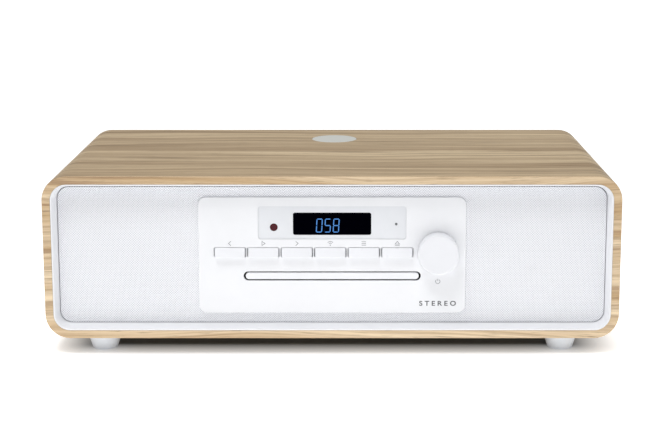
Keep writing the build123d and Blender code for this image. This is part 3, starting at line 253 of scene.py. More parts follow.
class Effects:
    """Builds each shared effect once, as a shader node group."""

    def __init__(self) -> None:
        """Lists each effect's recipe, its one dial and its outputs."""
        self._made: dict[Effect, bpy.types.NodeTree] = {}
        self._recipes: dict[Effect, Recipe] = {
            Effect.MOTTLE: (self._mottle, "Scale", ("Mask",)),
            Effect.MOULD_GRAIN: (self._mould_grain, "Scale", ("Height",)),
            Effect.TOP_DUST: (self._top_dust, "Amount", ("Mask",)),
            Effect.WOOD_FIGURE: (self._wood_figure, "Fineness", ("Tone", "Streak", "Pores", "Lines")),
            Effect.BRUSH_LINES: (self._brush_lines, "Scale", ("Height",)),
        }

    def use(self, tree: Tree, effect: Effect, place: Feed, value: float) -> Any:
        """Places an effect in a material.

        Args:
            tree: The material's tree.
            effect: Which effect.
            place: The vector that the effect reads.
            value: What its dial is set to.

        Returns:
            The group node's outputs, by name.
        """
        if effect not in self._made:
            self._made[effect] = self._build(effect)
        feeds = {"Place": place, self._recipes[effect][1]: value}
        return tree.add("ShaderNodeGroup", feeds, node_tree=self._made[effect]).outputs

    def _build(self, effect: Effect) -> bpy.types.NodeTree:
        """Makes the group of an effect.

        Args:
            effect: Which effect.

        Returns:
            Its node tree.
        """
        group = bpy.data.node_groups.new(effect.value, "ShaderNodeTree")
        recipe, dial, results = self._recipes[effect]
        sockets = [("Place", "INPUT", "Vector"), (dial, "INPUT", "Float")]
        sockets += [(result, "OUTPUT", "Float") for result in results]
        for name, way, kind in sockets:
            group.interface.new_socket(name=name, in_out=way, socket_type=f"NodeSocket{kind}")
        tree = Tree(group)
        given, out = tree.add("NodeGroupInput").outputs, tree.add("NodeGroupOutput")
        for name, result in recipe(tree, given["Place"], given[dial]).items():
            tree.feed(out.inputs[name], result)
        return group

    @staticmethod
    def _mottle(tree: Tree, place: Socket, scale: Socket) -> dict[str, Socket]:
        """Soft clouds at two sizes.

        Args:
            tree: The group's tree.
            place: The place on the object.
            scale: The scale of the larger clouds, per metre.

        Returns:
            The mask.
        """
        broad = tree.noise(place, scale, 2.0)
        fine = tree.noise(place, tree.times(scale, 6.0), 4.0, 0.65)
        mixed = tree.math("ADD", tree.times(broad, 0.6), tree.times(fine, 0.4))
        return {"Mask": tree.band(mixed, 0.35, 0.65)}

    @staticmethod
    def _mould_grain(tree: Tree, place: Socket, scale: Socket) -> dict[str, Socket]:
        """The fine pitted texture of a mould's wall.

        Args:
            tree: The group's tree.
            place: The place on the object.
            scale: How many pits there are in a metre.

        Returns:
            The height.
        """
        pits = tree.add("ShaderNodeTexVoronoi", {"Vector": place, "Scale": scale}).outputs["Distance"]
        return {"Height": tree.times(pits, tree.noise(place, tree.times(scale, 1.7), 3.0))}

    @staticmethod
    def _top_dust(tree: Tree, place: Socket, amount: Socket) -> dict[str, Socket]:
        """A thin film of dust on what faces up.

        Args:
            tree: The group's tree.
            place: The place on the object.
            amount: How thick the film is.

        Returns:
            The mask.
        """
        up = tree.band(tree.split(tree.coordinate("Normal"))[2], 0.6, 1.0)
        specks = tree.band(tree.noise(place, 900.0, 5.0, 0.7), 0.52, 0.75)
        cloud = tree.band(tree.noise(place, 30.0, 3.0), 0.35, 0.7)
        return {"Mask": tree.times(tree.times(tree.times(up, specks), cloud), amount)}

    @staticmethod
    def _wood_figure(tree: Tree, place: Socket, fineness: Socket) -> dict[str, Socket]:
        """Oak's figure, with its grain along x and its growth rings across y.

        Args:
            tree: The group's tree.
            place: The place on the flat wood.
            fineness: How close its rings are.

        Returns:
            The rings' tone, the fibres' streaks, the pores and the dark lines.
        """
        u, v, w = tree.split(place)

        def grain(along: float, side: Feed, across: float, octaves: float) -> Socket:
            """Gives a noise that is drawn out along the grain."""
            return tree.noise(tree.join(tree.times(u, along), tree.times(side, across), w), 1.0, octaves)

        drift = tree.times(tree.math("SUBTRACT", grain(2.2, v, 9.0, 2.0), 0.5), 0.06)
        side = tree.times(tree.math("ADD", v, drift), fineness)
        rings, boards = grain(1.6, side, 95.0, 3.0), grain(0.7, v, 22.0, 1.0)
        tone = tree.math("ADD", tree.times(rings, 0.6), tree.times(boards, 0.4))
        lines = tree.band(grain(2.4, side, 230.0, 2.0), 0.52, 0.64)
        patches = tree.band(grain(5.0, v, 30.0, 2.0), 0.42, 0.62)
        return {
            "Tone": tree.band(tone, 0.4, 0.6),
            "Streak": tree.band(grain(9.0, side, 520.0, 4.0), 0.45, 0.7),
            "Pores": tree.band(grain(60.0, side, 1600.0, 2.0), 0.6, 0.72),
            "Lines": tree.times(lines, patches),
        }

    @staticmethod
    def _brush_lines(tree: Tree, place: Socket, scale: Socket) -> dict[str, Socket]:
        """Fine lines along x, as brushing leaves.

        Args:
            tree: The group's tree.
            place: The place on the object.
            scale: How many lines there are in a metre.

        Returns:
            The height.
        """
        x, y, z = tree.split(place)
        return {"Height": tree.noise(tree.join(tree.times(x, 0.03), y, z), scale, 3.0, 0.7)}


class Paint:
    """One material in the making, with a Principled shader."""

    def __init__(self, name: str, effects: Optional[Effects] = None) -> None:
        """Makes the material.

        Args:
            name: The material's name.
            effects: The shared shader groups, where it uses them.
        """
        self.material = bpy.data.materials.new(name)
        self.material.use_nodes = True
        self.tree = Tree(self.material.node_tree)
        self.place = self.tree.coordinate("Object")
        self._shader = self.material.node_tree.nodes["Principled BSDF"]
        self._effects = effects

    def effect(self, effect: Effect, value: float, place: Optional[Socket] = None) -> Any:
        """Uses a shared effect at the place on the object, or at another, and gives its outputs."""
        return self._effects.use(self.tree, effect, place or self.place, value)

    def mottle(self, scale: float) -> Socket:
        """Gives a mask of soft clouds."""
        return self.effect(Effect.MOTTLE, scale)["Mask"]

    def dusted(self, colour: Socket, amount: float, dust: Colour) -> tuple[Socket, Socket]:
        """Lays dust on what faces up.

        Args:
            colour: The colour under the dust.
            amount: How thick the dust is.
            dust: The dust's colour.

        Returns:
            The colour with the dust, and the dust's mask.
        """
        mask = self.effect(Effect.TOP_DUST, amount)["Mask"]
        return self.tree.mix(mask, colour, dust), mask

    def show(self, **feeds: Feed) -> None:
        """Feeds the shader's sockets, which are named with _ for each space."""
        for name, value in feeds.items():
            self.tree.feed(self._shader.inputs[name.replace("_", " ")], value)


@dataclass(frozen=True)
class Finish:
    """The finish of one material, which each kind covers in its own way."""

    name: str

    def make(self, effects: Effects) -> bpy.types.Material:
        """Builds the material.

        Args:
            effects: The shared shader groups.

        Returns:
            The material.
        """
        paint = Paint(self.name, effects)
        self.cover(paint, paint.tree)
        return paint.material

    def cover(self, paint: Paint, tree: Tree) -> None:
        """Says what the surface shows, which each kind of finish must do."""
        raise NotImplementedError(self.name)


@dataclass(frozen=True)
class Plastic(Finish):
    """A moulded plastic."""

    colour: Colour
    roughness: float = 0.4
    coat: float = 0.0
    grain: float = 0.006 * MM
    pits: float = 2600.0
    clouds: float = 24.0
    shade: float = 0.955
    dust: float = 0.0

    def cover(self, paint: Paint, tree: Tree) -> None:
        """Shows soft clouds, a moulded grain and some dust.

        Args:
            paint: The material in the making.
            tree: Its tree.
        """
        mottle = paint.mottle(self.clouds)
        grain = paint.effect(Effect.MOULD_GRAIN, self.pits)["Height"]
        colour = tree.mix(mottle, scaled(self.colour, self.shade), self.colour)
        rough = tree.line(mottle, -0.06, self.roughness + 0.03)
        if self.dust:
            colour, dust = paint.dusted(colour, self.dust, srgb(196, 190, 180))
            rough = tree.math("ADD", rough, tree.times(dust, 0.3))
        paint.show(Base_Color=colour, Roughness=rough, Normal=tree.bump(grain, self.grain))
        paint.show(IOR=1.49, Coat_Weight=self.coat, Coat_Roughness=0.12)


@dataclass(frozen=True)
class Metal(Finish):
    """A bare metal, brushed along x."""

    colour: Colour
    roughness: float = 0.32
    lines: float = 3000.0
    brush: float = 0.004 * MM

    def cover(self, paint: Paint, tree: Tree) -> None:
        """Shows fine lines and soft clouds.

        Args:
            paint: The material in the making.
            tree: Its tree.
        """
        lines = paint.effect(Effect.BRUSH_LINES, self.lines)["Height"]
        colour = tree.mix(paint.mottle(60.0), scaled(self.colour, 0.82), self.colour)
        rough = tree.line(lines, 0.14, self.roughness - 0.05)
        paint.show(Base_Color=colour, Roughness=rough, Normal=tree.bump(lines, self.brush), Metallic=1.0)


@dataclass(frozen=True)
class Veneer(Finish):
    """Oak veneer that wraps the cabinet, with its grain round the girth and along the front edge; the edge
    strips are painted lighter as light and the girth darker as shade.
    """

    # The edge strips' colours are a lighter, lit copy of the girth's: painted light on the edges and painted
    # shade on the girth.
    pale: Colour
    brown: Colour
    dark: Colour
    lit_edge_pale: Colour
    lit_edge_brown: Colour
    lit_edge_dark: Colour
    half_width: float
    half_height: float
    corner: float
    middle_z: float
    dust: float = 0.12
    relief: float = 0.03 * MM

    def cover(self, paint: Paint, tree: Tree) -> None:
        """Shows the wood's figure, which is a strip of its own on the front and back edges, with painted
        light on those strips and painted shade on the girth.

        Args:
            paint: The material in the making.
            tree: Its tree.
        """
        facing = tree.split(tree.coordinate("Normal"))[1]
        # Picks the front and back strips, for their own grain and for their painted light.
        edge = tree.band(tree.math("ABSOLUTE", facing), 0.6, 0.8)
        figure = paint.effect(Effect.WOOD_FIGURE, 1.0, self._wrap(tree, paint.place, edge))
        streak, pores = figure["Streak"], figure["Pores"]
        # Lit copy on the edge strips, shaded copy on the girth: painted light and shade.
        pale = tree.mix(edge, self.pale, self.lit_edge_pale)
        brown = tree.mix(edge, self.brown, self.lit_edge_brown)
        dark = tree.mix(edge, self.dark, self.lit_edge_dark)
        colour = tree.mix(figure["Tone"], brown, pale)
        for mark, share, ink in (
            (streak, 0.5, dark), (figure["Lines"], 0.55, dark), (pores, 0.55, scaled(self.dark, 0.75))
        ):
            colour = tree.mix(tree.times(mark, share), colour, ink)
        colour, _ = paint.dusted(colour, self.dust, srgb(205, 198, 188))
        height = tree.math("SUBTRACT", tree.times(streak, -0.3), pores)
        normal = tree.bump(height, self.relief)
        paint.show(Base_Color=colour, Roughness=tree.line(streak, 0.12, 0.42), Normal=normal, IOR=1.45)

    def _wrap(self, tree: Tree, place: Socket, edge: Socket) -> Socket:
        """Works out the place on the unrolled veneer.

        Args:
            tree: The material's tree.
            place: The place on the object.
            edge: Where the strip along the front and back edge is.

        Returns:
            A vector with the way round the girth, the way across it and a seed.
        """
        x, y, z = tree.split(place)
        up = tree.math("SUBTRACT", z, self.middle_z)
        flat_x, flat_z = self.half_width - self.corner, self.half_height - self.corner
        out = tree.math("ABSOLUTE", x)
        along = tree.math("MINIMUM", out, flat_x)
        beside = tree.beyond(out, flat_x, 0.00001)
        held = tree.math("MAXIMUM", tree.math("MINIMUM", up, flat_z), -flat_z)
        drop = tree.math("SUBTRACT", flat_z, held)
        top_turn = tree.math("ARCTAN2", beside, tree.beyond(up, flat_z))
        low_turn = tree.math("ARCTAN2", tree.beyond(tree.times(up, -1.0), flat_z), beside)
        turns = tree.times(tree.math("ADD", top_turn, low_turn), self.corner)
        girth = tree.math("ADD", tree.math("ADD", along, drop), turns)
        wrapped = tree.join(tree.times(girth, tree.math("SIGN", x)), y, 0.0)
        return tree.mix_vectors(edge, wrapped, tree.join(x, tree.math("ADD", up, 0.31), 3.7))


@dataclass(frozen=True)
class Board(Finish):
    """Black-stained fibreboard."""

    colour: Colour
    relief: float = 0.02 * MM

    def cover(self, paint: Paint, tree: Tree) -> None:
        """Shows soft clouds and fine fibres.

        Args:
            paint: The material in the making.
            tree: Its tree.
        """
        mottle = paint.mottle(90.0)
        x, y, z = tree.split(paint.place)
        fibre = paint.effect(Effect.WOOD_FIGURE, 2.0, tree.join(x, z, y))["Streak"]
        colour = tree.mix(mottle, scaled(self.colour, 0.75), self.colour)
        colour = tree.mix(fibre, colour, scaled(self.colour, 1.35))
        normal = tree.bump(fibre, self.relief)
        paint.show(Base_Color=colour, Roughness=tree.line(mottle, 0.15, 0.6), Normal=normal)


@dataclass(frozen=True)
class GrilleCloth(Finish):
    """White acoustic cloth, woven with its holes in slanting rows; the holes are painted grey as the shade
    seen through them.
    """

    thread: Colour
    # The holes' grey is painted shade, seen through the cloth.
    gap: Colour
    pitch: float = 1.82 * MM
    relief: float = 0.22 * MM

    def cover(self, paint: Paint, tree: Tree) -> None:
        """Shows the weave with its holes in painted shade, its threads' fuzz and soft clouds.

        Args:
            paint: The material in the making.
            tree: Its tree.
        """
        x, _, z = tree.split(paint.place)
        turn = 2 * math.pi / self.pitch
        across, upward = (tree.math("COSINE", tree.times(way, turn)) for way in (x, z))
        weave = tree.line(tree.times(across, upward), -0.5, 0.5)
        threads = tree.noise(paint.place, 4200.0, 3.0, 0.7)
        holes = tree.band(tree.line(threads, 0.2, weave), 0.2, 0.55)
        # The weave's holes take the grey, painted shade seen through the cloth.
        colour = tree.mix(holes, self.gap, self.thread)
        colour = tree.mix(tree.times(paint.mottle(18.0), 0.25), colour, scaled(self.thread, 0.96))
        normal = tree.bump(tree.line(threads, 0.3, weave), self.relief)
        paint.show(Base_Color=colour, Roughness=tree.line(weave, -0.1, 0.9), Normal=normal, Sheen_Weight=0.15)


@dataclass(frozen=True)
class Gloss(Finish):
    """A hard, glossy window or lens."""

    colour: Colour
    roughness: float = 0.08
    mirror: float = 0.12

    def cover(self, paint: Paint, tree: Tree) -> None:
        """Shows soft clouds in the colour and the gloss.

        Args:
            paint: The material in the making.
            tree: Its tree.
        """
        mottle = paint.mottle(140.0)
        colour = tree.mix(mottle, scaled(self.colour, 0.8), self.colour)
        rough = tree.line(mottle, 0.04, self.roughness)
        paint.show(Base_Color=colour, Roughness=rough, Specular_IOR_Level=self.mirror)


@dataclass(frozen=True)
class Glow(Finish):
    """A lit display segment."""

    edge: Colour
    core: Colour
    strength: float = 1.6

    def cover(self, paint: Paint, tree: Tree) -> None:
        """Shows light that is brighter in fine clouds.

        Args:
            paint: The material in the making.
            tree: Its tree.
        """
        mottle = paint.mottle(900.0)
        paint.show(
            Base_Color=tree.mix(mottle, scaled(self.edge, 0.1), scaled(self.core, 0.1)),
            Emission_Color=tree.mix(mottle, self.edge, self.core),
            Emission_Strength=self.strength,
        )


@dataclass(frozen=True)
class CircuitBoard(Finish):
    """A green board with its copper traces under the mask."""

    green: Colour
    trace: Colour
    pads: float = 190.0
    relief: float = 0.03 * MM

    def cover(self, paint: Paint, tree: Tree) -> None:
        """Shows traces between square cells, and soft clouds.

        Args:
            paint: The material in the making.
            tree: Its tree.
        """
        feeds = {"Vector": paint.place, "Scale": self.pads, "Randomness": 0.6}
        cells = tree.add("ShaderNodeTexVoronoi", feeds, distance="MANHATTAN").outputs["Distance"]
        edge = tree.band(cells, 0.46, 0.5)
        colour = tree.mix(paint.mottle(60.0), scaled(self.green, 0.8), self.green)
        colour = tree.mix(edge, colour, self.trace)
        rough = tree.line(edge, -0.1, 0.4)
        paint.show(Base_Color=colour, Roughness=rough, Normal=tree.bump(edge, self.relief))


@dataclass(frozen=True)
class Fibre(Finish):
    """Pressed paper pulp or rubber, for the drivers' soft parts."""

    colour: Colour
    roughness: float
    relief: float

    def cover(self, paint: Paint, tree: Tree) -> None:
        """Shows pulp over soft clouds.

        Args:
            paint: The material in the making.
            tree: Its tree.
        """
        pulp = tree.noise(paint.place, 1500.0, 5.0, 0.7)
        colour = tree.mix(paint.mottle(120.0), scaled(self.colour, 0.7), scaled(self.colour, 1.2))
        colour = tree.mix(pulp, colour, self.colour)
        rough = tree.line(pulp, 0.1, self.roughness)
        paint.show(Base_Color=colour, Roughness=rough, Normal=tree.bump(pulp, self.relief))


def cabinet_veneer(corner: float = 18 * MM) -> Veneer:
    """Gives the veneer its sizes from the cabinet.

    Args:
        corner: The radius of the cabinet's corners.

    Returns:
        The veneer's finish.
    """
    shell = Span.of("cabinet_shell")
    return Veneer(
        "wood_veneer",
        # The girth's colours are painted darker as shade and the edge colours lighter as light, since the top
        # gets less light than the front.
        pale=srgb(232, 208, 169),
        brown=srgb(180, 153, 117),
        dark=srgb(112, 86, 58),
        lit_edge_pale=srgb(232, 211, 178),
        lit_edge_brown=srgb(192, 162, 122),
        lit_edge_dark=srgb(124, 86, 52),
        half_width=shell.size.x / 2,
        half_height=shell.size.z / 2,
        corner=corner,
        middle_z=shell.middle.z,
    )


class Palette:
    """Every finish by the name of its material slot."""

    def __init__(self) -> None:
        """Builds all the materials."""
        white, bezel_white = srgb(235, 236, 239), srgb(224, 226, 230)
        key_white, knob_white = srgb(240, 241, 245), srgb(230, 231, 235)
        finishes: list[Finish] = [
            cabinet_veneer(),
            Board("baffle_board", srgb(52, 48, 45)),
            Plastic("white_plastic", white, 0.38, coat=0.15, shade=0.975, dust=0.05),
            Plastic("key_plastic", key_white, 0.3, coat=0.25, shade=0.975),
            Plastic("knob_plastic", knob_white, 0.35, coat=0.1, shade=0.98),
            # The second colour is the cloth's holes, painted grey as shade.
            GrilleCloth("grille_cloth", key_white, srgb(178, 181, 188)),
            Plastic("bezel_plastic", bezel_white, 0.5, shade=0.97),
            Gloss("display_black", srgb(1, 1, 6), mirror=0.0),
            Gloss("filter_red", srgb(78, 30, 36), 0.12),
            Gloss("indicator_grey", srgb(120, 122, 124), 0.2),
            Plastic("foot_plastic", srgb(238, 244, 252), 0.45, shade=0.96),
            Plastic("pad_plastic", srgb(224, 226, 221), 0.5, shade=0.97, dust=0.1),
            Plastic("black_plastic", srgb(34, 34, 36), 0.5, grain=0.012 * MM, shade=0.85, dust=0.2),
            Plastic("tray_plastic", srgb(48, 48, 51), 0.42, grain=0.01 * MM, shade=0.88),
            Plastic("gear_plastic", srgb(226, 224, 214), 0.42, shade=0.94),
            Metal("steel", srgb(196, 198, 201)),
            Plastic("basket_steel", srgb(40, 40, 42), 0.38, coat=0.3, shade=0.88),
            Fibre("ferrite", srgb(62, 62, 65), 0.6, 0.02 * MM),
            Fibre("cone_paper", srgb(52, 51, 52), 0.8, 0.04 * MM),
            Fibre("surround_rubber", srgb(38, 38, 38), 0.55, 0.008 * MM),
            Metal("cap_aluminium", srgb(214, 215, 218), 0.25),
            Metal("copper_coil", srgb(200, 128, 84), 0.35),
            CircuitBoard("circuit_board", srgb(30, 92, 56), srgb(92, 142, 74)),
            Plastic("legend_ink", srgb(150, 152, 156), 0.6, shade=0.94),
            Plastic("dark_ink", srgb(84, 86, 90), 0.6, shade=0.92),
            Glow("lit_segment", srgb(40, 108, 186), srgb(84, 152, 222), 1.0),
            Gloss("unlit_segment", srgb(8, 10, 20), 0.3, mirror=0.0),
        ]
        effects = Effects()
        self.materials = {finish.name: finish.make(effects) for finish in finishes}

    def dress_nodes(self) -> None:
        """Gives every CAD node the material of its slot."""
        parts = frame["record"]["subparts"]
        for part in parts:
            node = frame["nodes"][part["node"]]
            node.data.materials.clear()
            node.data.materials.append(self.materials[part["material_slot"]])
        log.info("dressed %d nodes", len(parts))


class Shape:
    """A mesh in the making, in the row's frame."""

    def __init__(self) -> None:
        """Starts with an empty mesh."""
        self.mesh = bmesh.new()

    def soften(self, geom: list, radius: float, segments: int, affect: str = "EDGES") -> Verts:
        """Rounds some edges, or the corners at some vertices.

        Args:
            geom: The edges or the vertices.
            radius: The radius of the round.
            segments: How many steps it has.
            affect: EDGES or VERTICES.

        Returns:
            The vertices of the rounds.
        """
        made = bmesh.ops.bevel(
            self.mesh, geom=geom, offset=radius, segments=segments, profile=0.5, affect=affect, material=-1
        )
        return made["verts"]

    def slab(self, low: Vector, high: Vector, round_r: float = 0.0, segments: int = 3) -> Verts:
        """Adds a block with rounded edges.

        Args:
            low: The block's lowest corner.
            high: Its highest corner.
            round_r: The radius of its edges.
            segments: How many steps each round has.

        Returns:
            The block's vertices.
        """
        place = Matrix.Translation((low + high) / 2) @ Matrix.Diagonal((*(high - low), 1.0))
        made = bmesh.ops.create_cube(self.mesh, size=1.0, matrix=place)["verts"]
        if not round_r:
            return made
        edges = list({edge for vert in made for edge in vert.link_edges})
        return self.soften(edges, round_r, segments)

    def turned(self, outline: Sequence[Point], centre: Vector, axis: Vector, steps: int = 64) -> None:
        """Spins an outline about an axis.

        Args:
            outline: Points as distance along the axis and radius, in metres.
            centre: A point on the axis.
            axis: The axis's direction.
            steps: How many steps the turn has.
        """
        side = axis.orthogonal().normalized()
        verts = [self.mesh.verts.new(centre + axis * along + side * radius) for along, radius in outline]
        edges = [self.mesh.edges.new(pair) for pair in zip(verts, verts[1:])]
        bmesh.ops.spin(
            self.mesh, geom=verts + edges, cent=centre, axis=axis, dvec=(0, 0, 0),
            angle=2 * math.pi, steps=steps, use_merge=True, use_duplicate=False,
        )
        bmesh.ops.remove_doubles(self.mesh, verts=self.mesh.verts, dist=MERGE)

    def prism(self, outline: Sequence[Point], front: float, thick: float) -> None:
        """Adds a flat shape that faces forwards.

        Args:
            outline: Its corners as x and z.
            front: Where its face stands, as y.
            thick: How far it reaches back.
        """
        face = self.mesh.faces.new([self.mesh.verts.new((x, front, z)) for x, z in outline])
        made = bmesh.ops.extrude_face_region(self.mesh, geom=[face])["geom"]
        moved = [item for item in made if isinstance(item, bmesh.types.BMVert)]
        bmesh.ops.translate(self.mesh, verts=moved, vec=(0, thick, 0))

    def stroke(
        self, points: Sequence[Point], wide: float, front: float, thick: float, closed: bool = False
    ) -> None:
        """Adds a line of even width that faces forwards.

        Args:
            points: The line's points as x and z.
            wide: The line's width.
            front: Where its face stands, as y.
            thick: How far it reaches back.
            closed: Whether the last point joins the first.
        """
        count = len(points)
        left, right = [], []
        for index, (x, z) in enumerate(points):
            before = points[index - 1] if index or closed else points[index]
            after = points[(index + 1) % count] if index + 1 < count or closed else points[index]
            into = Vector((x - before[0], z - before[1]))
            away = Vector((after[0] - x, after[1] - z))
            into = into.normalized() if into.length else away.normalized()
            away = away.normalized() if away.length else into
            across = Vector((-(into.y + away.y), into.x + away.x)).normalized()
            reach = wide / 2 / max(SHARPEST_BEND, across.dot(Vector((-into.y, into.x))))
            left.append((x + across.x * reach, z + across.y * reach))
            right.append((x - across.x * reach, z - across.y * reach))
        for index in range(count if closed else count - 1):
            following = (index + 1) % count
            self.prism([left[index], left[following], right[following], right[index]], front, thick)
        bmesh.ops.remove_doubles(self.mesh, verts=self.mesh.verts, dist=MERGE)

    def piece(
        self, name: str, palette: Palette, slot: str, body: str = "root", smooth: bool = True
    ) -> bpy.types.Object:
        """Finishes the mesh as one piece.

        Args:
            name: The piece's name.
            palette: The materials.
            slot: The material's name, and the record's slot where it has one of that name.
            body: The body that it moves with.
            smooth: Whether its rounds are shaded smooth.

        Returns:
            The piece's object.
        """
        bmesh.ops.recalc_face_normals(self.mesh, faces=self.mesh.faces)
        for face in self.mesh.faces:
            face.smooth = smooth
        for edge in self.mesh.edges:
            edge.smooth = not (len(edge.link_faces) == 2 and edge.calc_face_angle(0.0) > SMOOTH_UNDER)
        data = bpy.data.meshes.new(name)
        self.mesh.to_mesh(data)
        self.mesh.free()
        data.materials.append(palette.materials[slot])
        thing = placed(name, data)
        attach(thing, body)
        log.info("%s: %d faces on %s", name, len(data.polygons), body)
        return thing


def arc(centre: Point, radius: float, start: float, end: float, steps: int) -> list[Point]:
    """Gives points along an arc.

    Args:
        centre: The arc's centre.
        radius: Its radius.
        start: Its first angle, in degrees.
        end: Its last angle, in degrees.
        steps: How many spans it has.

    Returns:
        The points.
    """
    angles = [math.radians(start + (end - start) * step / steps) for step in range(steps + 1)]
    return [(centre[0] + radius * math.cos(a), centre[1] + radius * math.sin(a)) for a in angles]


def soft_rim(radius: float, edge: float) -> list[Point]:
    """Gives the rounded rim of a turned end, from its face out to its side."""
    return arc((edge, radius - edge), edge, 180, 90, 6)


@dataclass
class Assembly:
    """A sub-assembly's new pieces, with the materials that they take."""

    palette: Palette

    def build(self) -> None:
        """Builds the pieces, which each sub-assembly must do."""
        raise NotImplementedError


@dataclass
class Grille(Assembly):
    """The cloth that is stretched over the grille frame and turned back round its edges."""

    turn_back: float = 3.0 * MM
    roll: float = 0.5 * MM
    cloth: float = 0.35 * MM
    corner: float = 8.6 * MM
    panel_corner: float = 6.0 * MM
    spread: float = 0.45 * MM
    panel_gap: float = 0.06 * MM

    def build(self) -> None:
        """Builds the cloth in place of the plain sheet."""
        sheet, panel = Span.of("speaker_grille"), Span.of("control_panel")
        shape = Shape()
        outer = self._rim(shape, sheet, sheet.low.y, self.spread, self.corner)
        inner = self._rim(shape, panel, sheet.low.y, self.panel_gap, self.panel_corner)
        bridged = bmesh.ops.bridge_loops(shape.mesh, edges=outer + inner)["faces"]
        made = bmesh.ops.extrude_edge_only(shape.mesh, edges=outer + inner)["geom"]
        moved = [item for item in made if isinstance(item, bmesh.types.BMVert)]
        bmesh.ops.translate(shape.mesh, verts=moved, vec=(0, self.turn_back, 0))
        shape.soften(outer, self.roll, 4)
        log.info("the grille's face has %d faces", len(bridged))
        cloth = shape.piece("grille_cloth_cover", self.palette, "grille_cloth")
        wall = cloth.modifiers.new("thickness", "SOLIDIFY")
        wall.thickness = self.cloth
        wall.offset = -1.0
        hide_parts("speaker_grille")

    def _rim(self, shape: Shape, box: Span, front: float, reach: float, corner: float) -> Edges:
        """Makes one rounded rectangle of edges.

        Args:
            shape: The mesh that gets it.
            box: The box that it goes round.
            front: Where it stands, as y.
            reach: How far it lies outside the box.
            corner: Its corner radius.

        Returns:
            The edges.
        """
        mesh = shape.mesh
        middle = Vector((box.middle.x, front, box.middle.z))
        half_x, half_z = box.size.x / 2 + reach, box.size.z / 2 + reach
        signs = ((-1, -1), (1, -1), (1, 1), (-1, 1))
        verts = [mesh.verts.new(middle + Vector((sx * half_x, 0, sz * half_z))) for sx, sz in signs]
        face = mesh.faces.new(verts)
        before = set(mesh.edges) - set(face.edges)
        shape.soften(verts, corner, 8, "VERTICES")
        rim = [edge for edge in mesh.edges if edge not in before]
        bmesh.ops.delete(mesh, geom=[f for f in mesh.faces if len(f.verts) > 8], context="FACES_ONLY")
        return rim

    def _area(self, sheet: Span, panel: Span) -> float:
        """Works out the cloth's flat area.

        Args:
            sheet: The plain sheet that it stands for.
            panel: The panel that it leaves open.

        Returns:
            The area, in square metres.
        """
        front = sheet.size.x * sheet.size.z - panel.size.x * panel.size.z
        edges = 2 * (sheet.size.x + sheet.size.z + panel.size.x + panel.size.z)
        return front + edges * self.turn_back


@dataclass
class Keys(Assembly):
    """The six wedge-shaped keys."""

    names: tuple[str, ...] = ("key_previous", "key_play", "key_next", "key_pairing", "key_menu", "key_eject")
    half_x: float = 11.05 * MM
    half_z: float = 3.4 * MM
    sunk: float = 2.2 * MM
    nose: float = 0.5 * MM
    proud: float = 3.0 * MM
    edge_r: float = 0.45 * MM
    flange: float = 1.0 * MM
    flange_edge: float = 0.2 * MM
    post_r: float = 1.5 * MM

    def build(self) -> None:
        """Builds the caps."""
        front = Span.of("control_panel").low.y
        back = front + self.sunk
        for name in self.names:
            key = Span.of(name)
            middle = key.middle
            cap = Shape()
            block = cap.slab(
                Vector((middle.x - self.half_x, front, middle.z - self.half_z)),
                Vector((middle.x + self.half_x, back, middle.z + self.half_z)),
            )
            nose = [v for v in block if v.co.y < front + self.nose and v.co.z < middle.z]
            bmesh.ops.translate(cap.mesh, verts=nose, vec=(0, -self.proud, 0))
            cap.soften(list(cap.mesh.edges), self.edge_r, 4)
            post = Vector((middle.x, back + self.flange, middle.z))
            low, high = Vector((key.low.x, back, key.low.z)), Vector((key.high.x, post.y, key.high.z))
            cap.slab(low, high, self.flange_edge, 2)
            reach = key.high.y - post.y
            cap.turned([(0, 0), (0, self.post_r), (reach, self.post_r), (reach, 0)], post, BACKWARDS, 24)
            piece = cap.piece(f"{name}_cap", self.palette, "key_plastic", name)
            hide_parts(name)


@dataclass(frozen=True)
class Stroke:
    """One line of a printed mark, or a filled dot, in the mark's sizes about its centre."""

    points: Sequence[Point]
    closed: bool = False
    filled: bool = False


WAVES_FROM: Point = (0, -0.8)
MARKS: dict[str, list[Stroke]] = {
    "key_previous": [Stroke(((0.5, 1), (-0.6, 0), (0.5, -1)))],
    "key_play": [Stroke(((-0.6, 1), (0.8, 0), (-0.6, -1)), closed=True)],
    "key_next": [Stroke(((-0.5, 1), (0.6, 0), (-0.5, -1)))],
    "key_pairing": [
        Stroke(arc(WAVES_FROM, 0.28, 0, 330, 11), filled=True),
        Stroke(arc(WAVES_FROM, 0.95, 45, 135, 8)),
        Stroke(arc(WAVES_FROM, 1.7, 45, 135, 8)),
    ],
    "key_menu": [Stroke(((-1, height), (1, height))) for height in (-0.8, 0, 0.8)],
    "key_eject": [Stroke(((-1, -0.3), (0, 1), (1, -0.3)), closed=True), Stroke(((-1.1, -1), (1.1, -1)))],
    "power": [Stroke(arc((0, 0), 1, 125, 415, 24)), Stroke(((0, 0.2), (0, 1.25)))],
}


